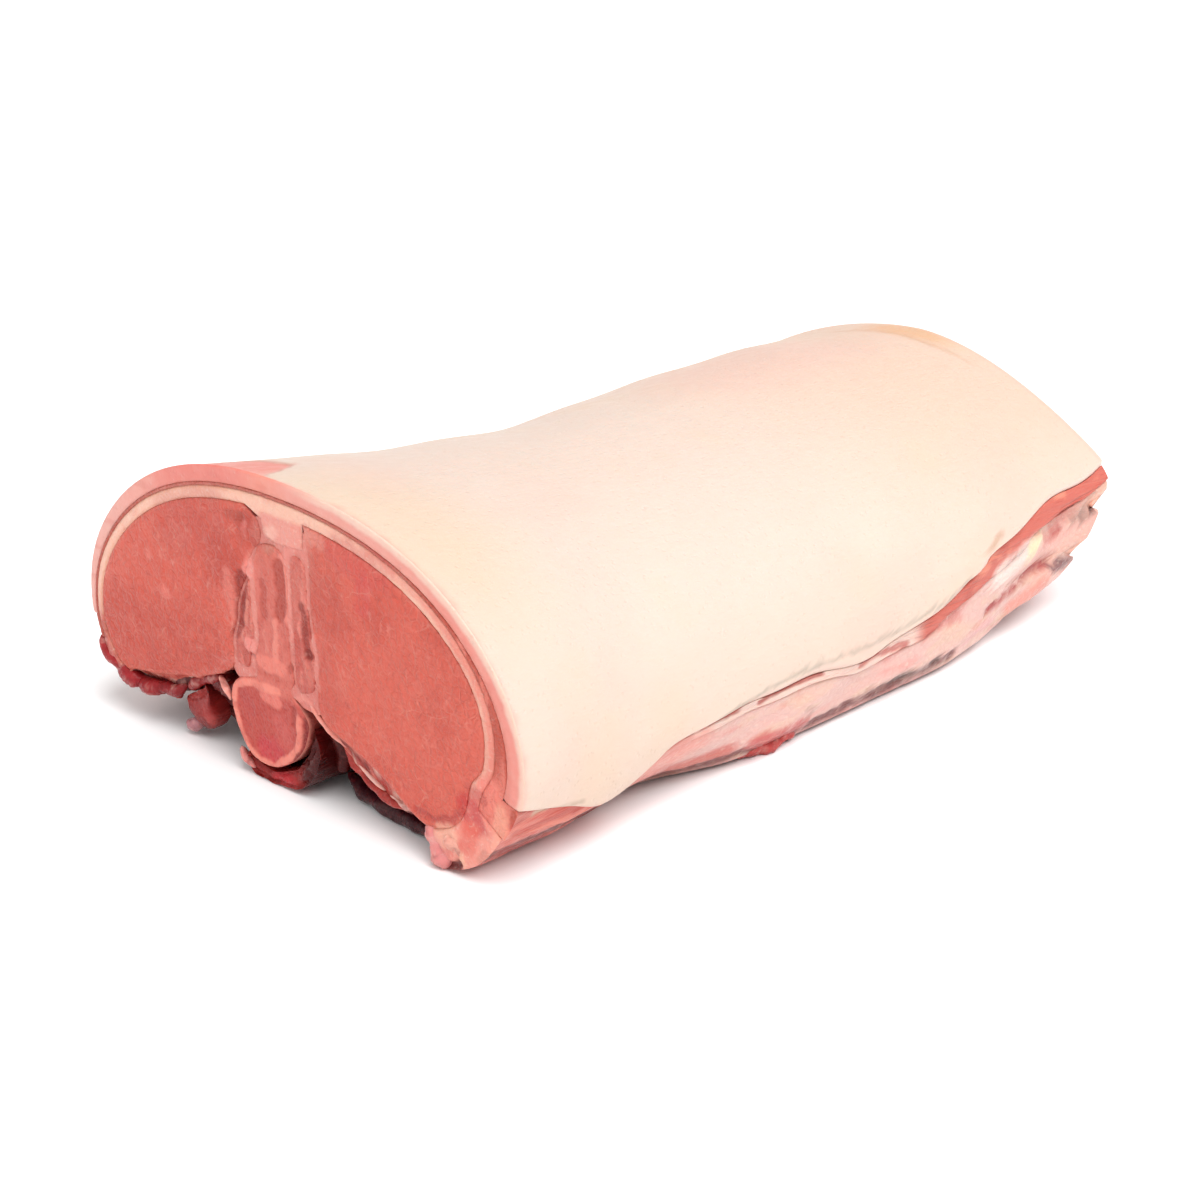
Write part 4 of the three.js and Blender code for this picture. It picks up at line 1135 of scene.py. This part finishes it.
class Graph:
    """A material, with short names for the nodes that it uses. Sizes are in mm."""

    def __init__(self, name):
        self.material, self.bsdf = new_material(name)
        self.tree = self.material.node_tree
        self.coords = self.node("TexCoord", "Object")

    def fill(self, node, inputs):
        for key, value in inputs.items():
            if isinstance(value, bpy.types.NodeSocket):
                self.tree.links.new(value, node.inputs[key])
            else:
                node.inputs[key].default_value = value

    def node(self, kind, output, inputs={}, **settings):
        """Adds a node with those settings and inputs, and gives back one of its outputs."""
        node = self.tree.nodes.new("ShaderNode" + kind)
        for key, value in settings.items():
            setattr(node, key, value)
        self.fill(node, inputs)
        return node.outputs[output]

    def scaled(self, sizes):
        inputs = {"Vector": self.coords, "Scale": [1000 / s for s in sizes]}
        return self.node("Mapping", "Vector", inputs, vector_type="POINT")

    def noise(self, sizes, detail=2.0, rough=0.5):
        inputs = {"Vector": self.scaled(sizes), "Scale": 1, "Detail": detail, "Roughness": rough}
        return self.node("TexNoise", "Fac", inputs)

    def cells(self, sizes, feature="F1", warp=0.0):
        vector = self.scaled(sizes)
        if warp:
            wander = self.node("TexNoise", "Color", {"Vector": vector, "Scale": 0.9})
            inputs = {0: wander, 1: (warp, warp, warp), 2: vector}
            vector = self.node("VectorMath", 0, inputs, operation="MULTIPLY_ADD")
        return self.node("TexVoronoi", "Distance", {"Vector": vector, "Scale": 1}, feature=feature)

    def ramp(self, value, low, high, out_low=0.0, out_high=1.0):
        inputs = {"Value": value, "From Min": low, "From Max": high}
        inputs.update({"To Min": out_low, "To Max": out_high})
        return self.node("MapRange", "Result", inputs, interpolation_type="SMOOTHSTEP")

    def times(self, a, b):
        return self.node("Math", 0, {0: a, 1: b}, operation="MULTIPLY")

    def mix(self, share, under, code):
        inputs = {"Factor": share, "A": under, "B": (*linear(code), 1)}
        return self.node("Mix", "Result", inputs, data_type="RGBA")

    def tint(self):
        return self.node("VertexColor", "Color", layer_name="tint")

    def finish(self, colour, rough, bumps, subsurface, radius, scale, coat, coat_rough, specular):
        """Sets the shader. rough is noise sizes and its range; bumps are heights and depths in mm."""
        sizes, low, high = rough
        normal = {}
        for height, depth in bumps:
            inputs = {"Height": height, "Distance": depth / 1000, **normal}
            normal = {"Normal": self.node("Bump", "Normal", inputs)}
        self.fill(self.bsdf, {
            "Base Color": colour,
            "Roughness": self.ramp(self.noise(sizes), 0.3, 0.7, low, high),
            **normal,
            "Subsurface Weight": subsurface,
            "Subsurface Radius": radius,
            "Subsurface Scale": scale / 1000,
            "Coat Weight": coat,
            "Coat Roughness": coat_rough,
            "Specular IOR Level": specular,
        })
        return self.material


def skin_material():
    g = Graph("rind")
    pores = g.ramp(g.cells((2.6, 3.0, 2.6)), 0.05, 0.32)
    lines = g.noise((1.6, 5.5, 1.6), 3, 0.6)
    mottle = g.noise((9, 12, 9), 3, 0.55)
    colour = g.mix(g.ramp(mottle, 0.48, 0.75, 0, 0.16), g.tint(), 0xFDD8C4)
    colour = g.mix(g.ramp(pores, 0.0, 1.0, 0.05, 0), colour, 0xECBEA2)
    return g.finish(colour, ((5, 7, 5), 0.42, 0.56), [(pores, 0.12), (lines, 0.22)], subsurface=0.25,
                    radius=(1.0, 0.55, 0.4), scale=2.5, coat=0.06, coat_rough=0.35, specular=0.4)


def fat_material():
    g = Graph("fat")
    lobules = g.cells((2.4, 4.5, 2.4), "DISTANCE_TO_EDGE", 0.6)
    border = g.ramp(lobules, 0.0, 0.12, 1, 0)
    colour = g.mix(g.times(border, 0.07), g.tint(), 0xE27868)
    colour = g.mix(g.ramp(g.noise((1.4, 3, 1.4), 3), 0.55, 0.75, 0, 0.3), colour, 0xFFE2CE)
    bumps = [(g.ramp(lobules, 0.0, 0.3), 0.12), (g.noise((1.2, 2.2, 1.2), 3, 0.6), 0.25)]
    return g.finish(colour, ((3, 5, 3), 0.28, 0.46), bumps, subsurface=0.25,
                    radius=(1.0, 0.45, 0.3), scale=2.5, coat=0.12, coat_rough=0.25, specular=0.35)


def lean_material():
    g = Graph("lean")
    bundles = g.cells((3.4, 40, 3.4), "DISTANCE_TO_EDGE", 0.7)
    border = g.ramp(bundles, 0.0, 0.09, 1, 0)
    patchy = g.ramp(g.noise((13, 60, 13)), 0.4, 0.65)
    colour = g.mix(g.times(g.times(border, patchy), 0.2), g.tint(), 0xF49C8C)
    fine = g.noise((0.9, 12, 0.9), 3, 0.65)
    colour = g.mix(g.ramp(fine, 0.52, 0.78, 0, 0.22), colour, 0xF09686)
    colour = g.mix(g.ramp(fine, 0.48, 0.24, 0, 0.32), colour, 0xA83C36)
    veins = g.ramp(g.cells((15, 90, 15), "DISTANCE_TO_EDGE", 0.9), 0.0, 0.022, 1, 0)
    broken = g.ramp(g.noise((6, 40, 6)), 0.5, 0.62)
    colour = g.mix(g.times(g.times(veins, broken), 0.22), colour, 0xFAB8A6)
    bumps = [(g.ramp(bundles, 0.0, 0.25), 0.28), (fine, 0.3)]
    return g.finish(colour, ((2, 14, 2), 0.3, 0.5), bumps, subsurface=0.2,
                    radius=(1.0, 0.25, 0.15), scale=1.8, coat=0.05, coat_rough=0.25, specular=0.15)


def dark_lean_material():
    g = Graph("dark_lean")
    strands = g.noise((1.5, 7, 1.5), 3, 0.6)
    colour = g.mix(g.ramp(strands, 0.52, 0.78, 0, 0.16), g.tint(), 0xDE6E64)
    colour = g.mix(g.ramp(strands, 0.46, 0.25, 0, 0.45), colour, 0x6E181A)
    return g.finish(colour, ((3, 6, 3), 0.2, 0.38), [(strands, 0.5)], subsurface=0.1,
                    radius=(1.0, 0.25, 0.15), scale=1.5, coat=0.06, coat_rough=0.25, specular=0.15)


def bone_material():
    g = Graph("bone")
    sponge = g.cells((1.3, 1.5, 1.3))
    colour = g.mix(g.ramp(sponge, 0.2, 0.6, 0, 0.12), g.tint(), 0xF69686)
    colour = g.mix(g.ramp(sponge, 0.25, 0.05, 0, 0.3), colour, 0xA6342E)
    return g.finish(colour, ((2, 2, 2), 0.36, 0.55), [(sponge, 0.3), (g.noise((3, 4, 3), 3), 0.4)],
                    subsurface=0.12, radius=(1.0, 0.3, 0.2), scale=1.5, coat=0.05, coat_rough=0.25,
                    specular=0.15)


SKIN_LOOK, FAT_LOOK, LEAN_LOOK = skin_material(), fat_material(), lean_material()
DARK_LOOK, BONE_LOOK = dark_lean_material(), bone_material()

# ---- pieces

place("rind_shell", SKIN_LOOK, "rind", loft(skin_section, skin_side, skin_face, 10),
      "rind_and_back_fat")
place("seam_layer", LEAN_LOOK, "lean", loft(seam_section, seam_side, seam_face, 20), "lean_seam")
place("fat_layer", FAT_LOOK, "fat", loft(inner_fat_section, flank_side, inner_fat_face, 30), "inner_fat")
place("spine_bed", FAT_LOOK, "fat",
      loft(outline_section(BED), eye_side, bed_face, 40, spacing=THIN_SPACING, set_back=BED_SET_BACK))
for name, side, rim, hanging, seed in (
    ("right", RIGHT, EYE_INSIDE_RIGHT, EYE_HANGING_RIGHT, 50),
    ("left", LEFT, EYE_INSIDE_LEFT, EYE_HANGING_LEFT, 60),
):
    eye = loft(eye_section(side, rim, hanging), eye_side, eye_face, seed)
    place("eye_" + name, LEAN_LOOK, "lean", eye, "loin_eye_" + name)
place("spine", BONE_LOOK, "bone",
      loft(bone_section, bone_side, bone_face, 70, cap_step=FINE_CAP, turned=THIN_TURN), "backbone")
for name, outline, seed in (("right", SPINE_LEAN_RIGHT, 80), ("left", SPINE_LEAN_LEFT, 90)):
    strip = loft(outline_section(outline), eye_side, streaked_face, seed, spacing=THIN_SPACING,
                 cap_step=FINE_CAP, turned=THIN_TURN)
    place("strip_" + name, LEAN_LOOK, "dark_lean", strip, "spine_lean_" + name)
place("crus", DARK_LOOK, "dark_lean",
      loft(lobe_section(CRUS_TOP, CRUS_UNDERSIDE, CRUS_SPAN, True), dark_side, dark_face, 100,
           CRUS_SPAN, 1.6, turned=4.0, lobe=True), "crus_lean")
place("hanging_lobe", DARK_LOOK, "dark_lean",
      loft(lobe_section(HANGING_TOP, HANGING_UNDERSIDE, HANGING_SPAN, False), dark_side, dark_face, 110,
           HANGING_SPAN, 1.2, turned=3.0, lobe=True), "hanging_lean")

# ---- scraps of tissue
# A scrap is a ragged, tapered strand: points (x, distance from the front cut, z), widest
# half width, and its colour.

RED_SCRAPS = [
    ([(-103, 3, 28), (-98, 2, 21), (-90, 2, 18)], 2.8, 0xB02C30),
    ([(-95, 3, 19), (-86, 2, 16), (-79, 3, 15)], 3.4, 0xA8262C),
    ([(-83, 4, 16), (-75, 3, 14.6), (-67, 4, 17)], 3.0, 0xA02428),
    ([(-71, 3, 17), (-63, 3, 17), (-56, 4, 21)], 2.6, 0x962226),
    ([(-100, 9, 26), (-88, 9, 20), (-74, 9, 19), (-60, 9, 21), (-46, 9, 27)], 4.8, 0x5C1414),
    ([(-78, 6, 14), (-77, 6, 10.5)], 1.5, 0x962226),
    ([(-64, 6, 16), (-65, 6, 12.5)], 1.2, 0xAA3230),
    ([(-56, 6, 20), (-50, 5, 24), (-44, 5, 27), (-36, 5, 30.5)], 2.8, 0x9E2626),
    # Painted shade: the very dark strands from here to the end of this run sit between the hanging lobe and
    # the bone and low in the hollows under the loins; they are partly torn tissue and partly stand in for the
    # shade there
    ([(-45, 9, 27), (-38, 9, 26), (-30, 8, 27), (-22, 7, 26)], 5.0, 0x681414),
    ([(-44, 12, 21), (-36, 11, 20), (-29, 10, 20), (-21, 9, 19)], 4.6, 0x4C0E10),
    ([(-43, 14, 14), (-36, 13, 13), (-28, 12, 13), (-20, 10, 13)], 4.0, 0x460C0E),
    ([(14, 8, 31), (18, 10, 24), (19, 12, 16), (17, 12, 9)], 3.4, 0x500E0E),
    ([(16, 24, 20), (24, 24, 10), (38, 22, 7), (54, 19, 6.4), (70, 14, 6)], 6.2, 0x3C0C10),
    ([(17, 15, 8), (26, 14, 3.6), (38, 13, 3), (52, 12, 3), (68, 9, 4)], 3.4, 0x40121A),
    ([(-24, 19, 10), (-34, 19, 7), (-46, 19, 6)], 5.0, 0x3C141E),
    ([(24, 7, 29), (31, 6, 21.5), (40, 6, 14.5), (50, 6, 12), (60, 5, 13)], 2.3, 0xBA3E36),
    ([(27, 9, 24), (36, 9, 15), (46, 9, 10.5), (58, 8, 11), (66, 6, 13)], 2.0, 0x84201E),
    ([(97, 120, 3), (98, 132, 4), (98.5, 142, 4), (99, 152, 3)], 4.2, 0xC64C48),
    ([(105, 262, 14), (104, 274, 17), (103, 288, 18)], 1.8, 0xC45450),
]
PALE_SCRAPS = [
    ([(-33, 1.5, 32.5), (-29.5, 0.5, 30.5), (-26.5, 0, 28), (-26.5, 0.5, 25.5)], 0.9, 0xF6A092),
    ([(-23.5, 1.5, 9), (-21.5, 1.5, 5), (-17, 2, 2.6)], 1.5, 0xF0928A),
    ([(-61, 8, 3), (-57, 7, 5), (-53, 7, 7)], 2.6, 0xC48086),
    ([(16, 1, 37.5), (20, 1, 33.5), (25, 2.5, 29.5), (32, 4, 25)], 1.1, 0xFA9C8C),
    ([(34, 4.5, 22), (40, 5, 18), (47, 5, 15)], 1.0, 0xFCBEB0),
    ([(49, 5, 14.6), (55, 4.6, 13.2), (61, 4, 13.6)], 1.1, 0xFABAAC),
    ([(28, 6, 22), (30, 7, 19)], 0.8, 0xFCD2C6),
    ([(37, 7, 15), (38.5, 7.5, 12.5)], 0.8, 0xFAC8BC),
    ([(44, 7, 12), (46, 7.5, 10)], 0.8, 0xFAC8BC),
    ([(73, 3.4, 15), (74, 3, 9), (77, 2.6, 4.6), (82, 2.6, 3.4)], 4.4, 0xF0928E),
    ([(79, 3.2, 12.6), (84, 2.6, 9.6), (87, 3, 5)], 3.8, 0xFAB09C),
    ([(104, 276, 33), (103, 287, 36), (102, 294, 37.5)], 2.2, 0xFCECBE),
]

DARK_SUM = 130
SCRAP_STEP = 0.7
SCRAP_AROUND = 16
SCRAP_FLATNESS = 0.85
SCRAP_LEAST = 0.15
SCRAP_NOISE = 6.5
LEAN_OF_RIM = [0.13, 0.21, 0.97]


def rounded_path(points):
    """Evenly spaced places along straight lines between the points, with the corners rounded."""
    points = np.asarray(points, float)
    chords = np.linalg.norm(np.diff(points, axis=0), axis=1)
    places = np.concatenate([[0], np.cumsum(chords)])
    wanted = np.linspace(0, places[-1], max(int(places[-1] / SCRAP_STEP), 6))
    path = np.stack([np.interp(wanted, places, points[:, i]) for i in range(3)], -1)
    for _ in range(int(2 / SCRAP_STEP)):
        path[1:-1] = (path[:-2] + path[1:-1] * 2 + path[2:]) / 4
    return path


def strand(shell, points, half_width, colour, seed):
    """Adds one scrap: a tube along the points, uneven in width, closed and tapered at both ends."""
    path = rounded_path(points)
    count = len(path)
    run_on = np.gradient(path, axis=0)
    run_on /= np.linalg.norm(run_on, axis=1, keepdims=True)
    across = np.cross(run_on, LEAN_OF_RIM)
    across /= np.linalg.norm(across, axis=1, keepdims=True)
    over = np.cross(across, run_on)
    taper = np.sqrt(np.clip(1 - np.abs(np.linspace(-1, 1, count)) ** 3, 0, 1))
    turn = np.linspace(0, 2 * np.pi, SCRAP_AROUND, endpoint=False)
    rim = np.cos(turn)[:, None, None] * across + np.sin(turn)[:, None, None] * over * SCRAP_FLATNESS
    tube = (path + rim * (half_width * taper + SCRAP_LEAST)[:, None]).transpose(1, 0, 2)
    deep = channels(colour).sum() < DARK_SUM
    rough = 1 + (0.35 if deep else 0.85) * fbm(tube, SCRAP_NOISE, 4, seed)
    tube = path[:, None] + (tube - path[:, None]) * rough[..., None] - [0, LENGTH / 2, 0]
    streaks = fbm(tube, 2.4, 3, seed + 7)
    pale = 0.03 if deep else 0.35
    tint = np.broadcast_to(linear(colour), tube.shape)
    tint = blend(tint, 0xFFC8BA, pale * rise(streaks, 0.1, 0.4))
    tint = blend(tint, 0x781A1A, 0.45 * rise(-streaks, 0.12, 0.35))
    start = shell.add(tube, tint)
    last = start + (count - 1) * SCRAP_AROUND
    shell.faces += quads(count, SCRAP_AROUND, start)
    shell.faces.append(list(range(start, start + SCRAP_AROUND)))
    shell.faces.append(list(range(last + SCRAP_AROUND - 1, last - 1, -1)))


def scraps(list_of, seed):
    shell = Shell()
    for i, (points, half_width, colour) in enumerate(list_of):
        strand(shell, points, half_width, colour, seed + 3 * i)
    return shell


place("red_scraps", DARK_LOOK, "dark_lean", scraps(RED_SCRAPS, 300))
place("pale_scraps", FAT_LOOK, "fat", scraps(PALE_SCRAPS, 400))

# ---- floor, light and camera
# Metres from here on

FLOOR_REACH = 9
FLOOR_GREY = 0.96
SUNS = [("key", (0.62, -0.05, 1.1), 50, 3.6), ("fill", (-0.1, -1.0, 0.7), 70, 0.8)]
WORLD_STRENGTH = 0.52
AZIMUTH, ELEVATION, DISTANCE = math.radians(43), math.radians(22), 0.85
TARGET = Vector((-0.02677, 0, 0.01063))
LENS, SENSOR, CLIP_START = 63.845, 36, 0.05

corners = [(FLOOR_REACH * x, FLOOR_REACH * y, 0) for x, y in ((-1, -1), (1, -1), (1, 1), (-1, 1))]
floor_mesh = bpy.data.meshes.new("floor")
floor_mesh.from_pydata(corners, [], [(0, 1, 2, 3)])
floor = bpy.data.objects.new("floor", floor_mesh)
bpy.context.scene.collection.objects.link(floor)
floor_material, floor_bsdf = new_material("pale_floor")
floor_bsdf.inputs["Base Color"].default_value = (FLOOR_GREY, FLOOR_GREY, FLOOR_GREY, 1)
floor_bsdf.inputs["Roughness"].default_value = 0.7
floor_bsdf.inputs["Specular IOR Level"].default_value = 0.2
floor_mesh.materials.append(floor_material)

for name, toward, wide, power in SUNS:
    data = bpy.data.lights.new(name, "SUN")
    data.angle = math.radians(wide)
    data.energy = power
    lamp = bpy.data.objects.new(name, data)
    lamp.rotation_euler = (-Vector(toward)).to_track_quat("-Z", "Y").to_euler()
    bpy.context.scene.collection.objects.link(lamp)

world = bpy.data.worlds.new("white_room")
world.use_nodes = True
world.node_tree.nodes["Background"].inputs["Color"].default_value = (1, 1, 1, 1)
world.node_tree.nodes["Background"].inputs["Strength"].default_value = WORLD_STRENGTH
bpy.context.scene.world = world
bpy.context.scene.view_settings.view_transform = "Standard"

camera_data = bpy.data.cameras.new("camera")
camera_data.lens = LENS
camera_data.sensor_width = SENSOR
camera_data.clip_start = CLIP_START
camera = bpy.data.objects.new("camera", camera_data)
level = math.cos(ELEVATION)
backward = Vector((math.sin(AZIMUTH) * level, -math.cos(AZIMUTH) * level, math.sin(ELEVATION)))
camera.location = TARGET + backward * DISTANCE
camera.rotation_euler = (-backward).to_track_quat("-Z", "Y").to_euler()
bpy.context.scene.collection.objects.link(camera)
bpy.context.scene.camera = camera
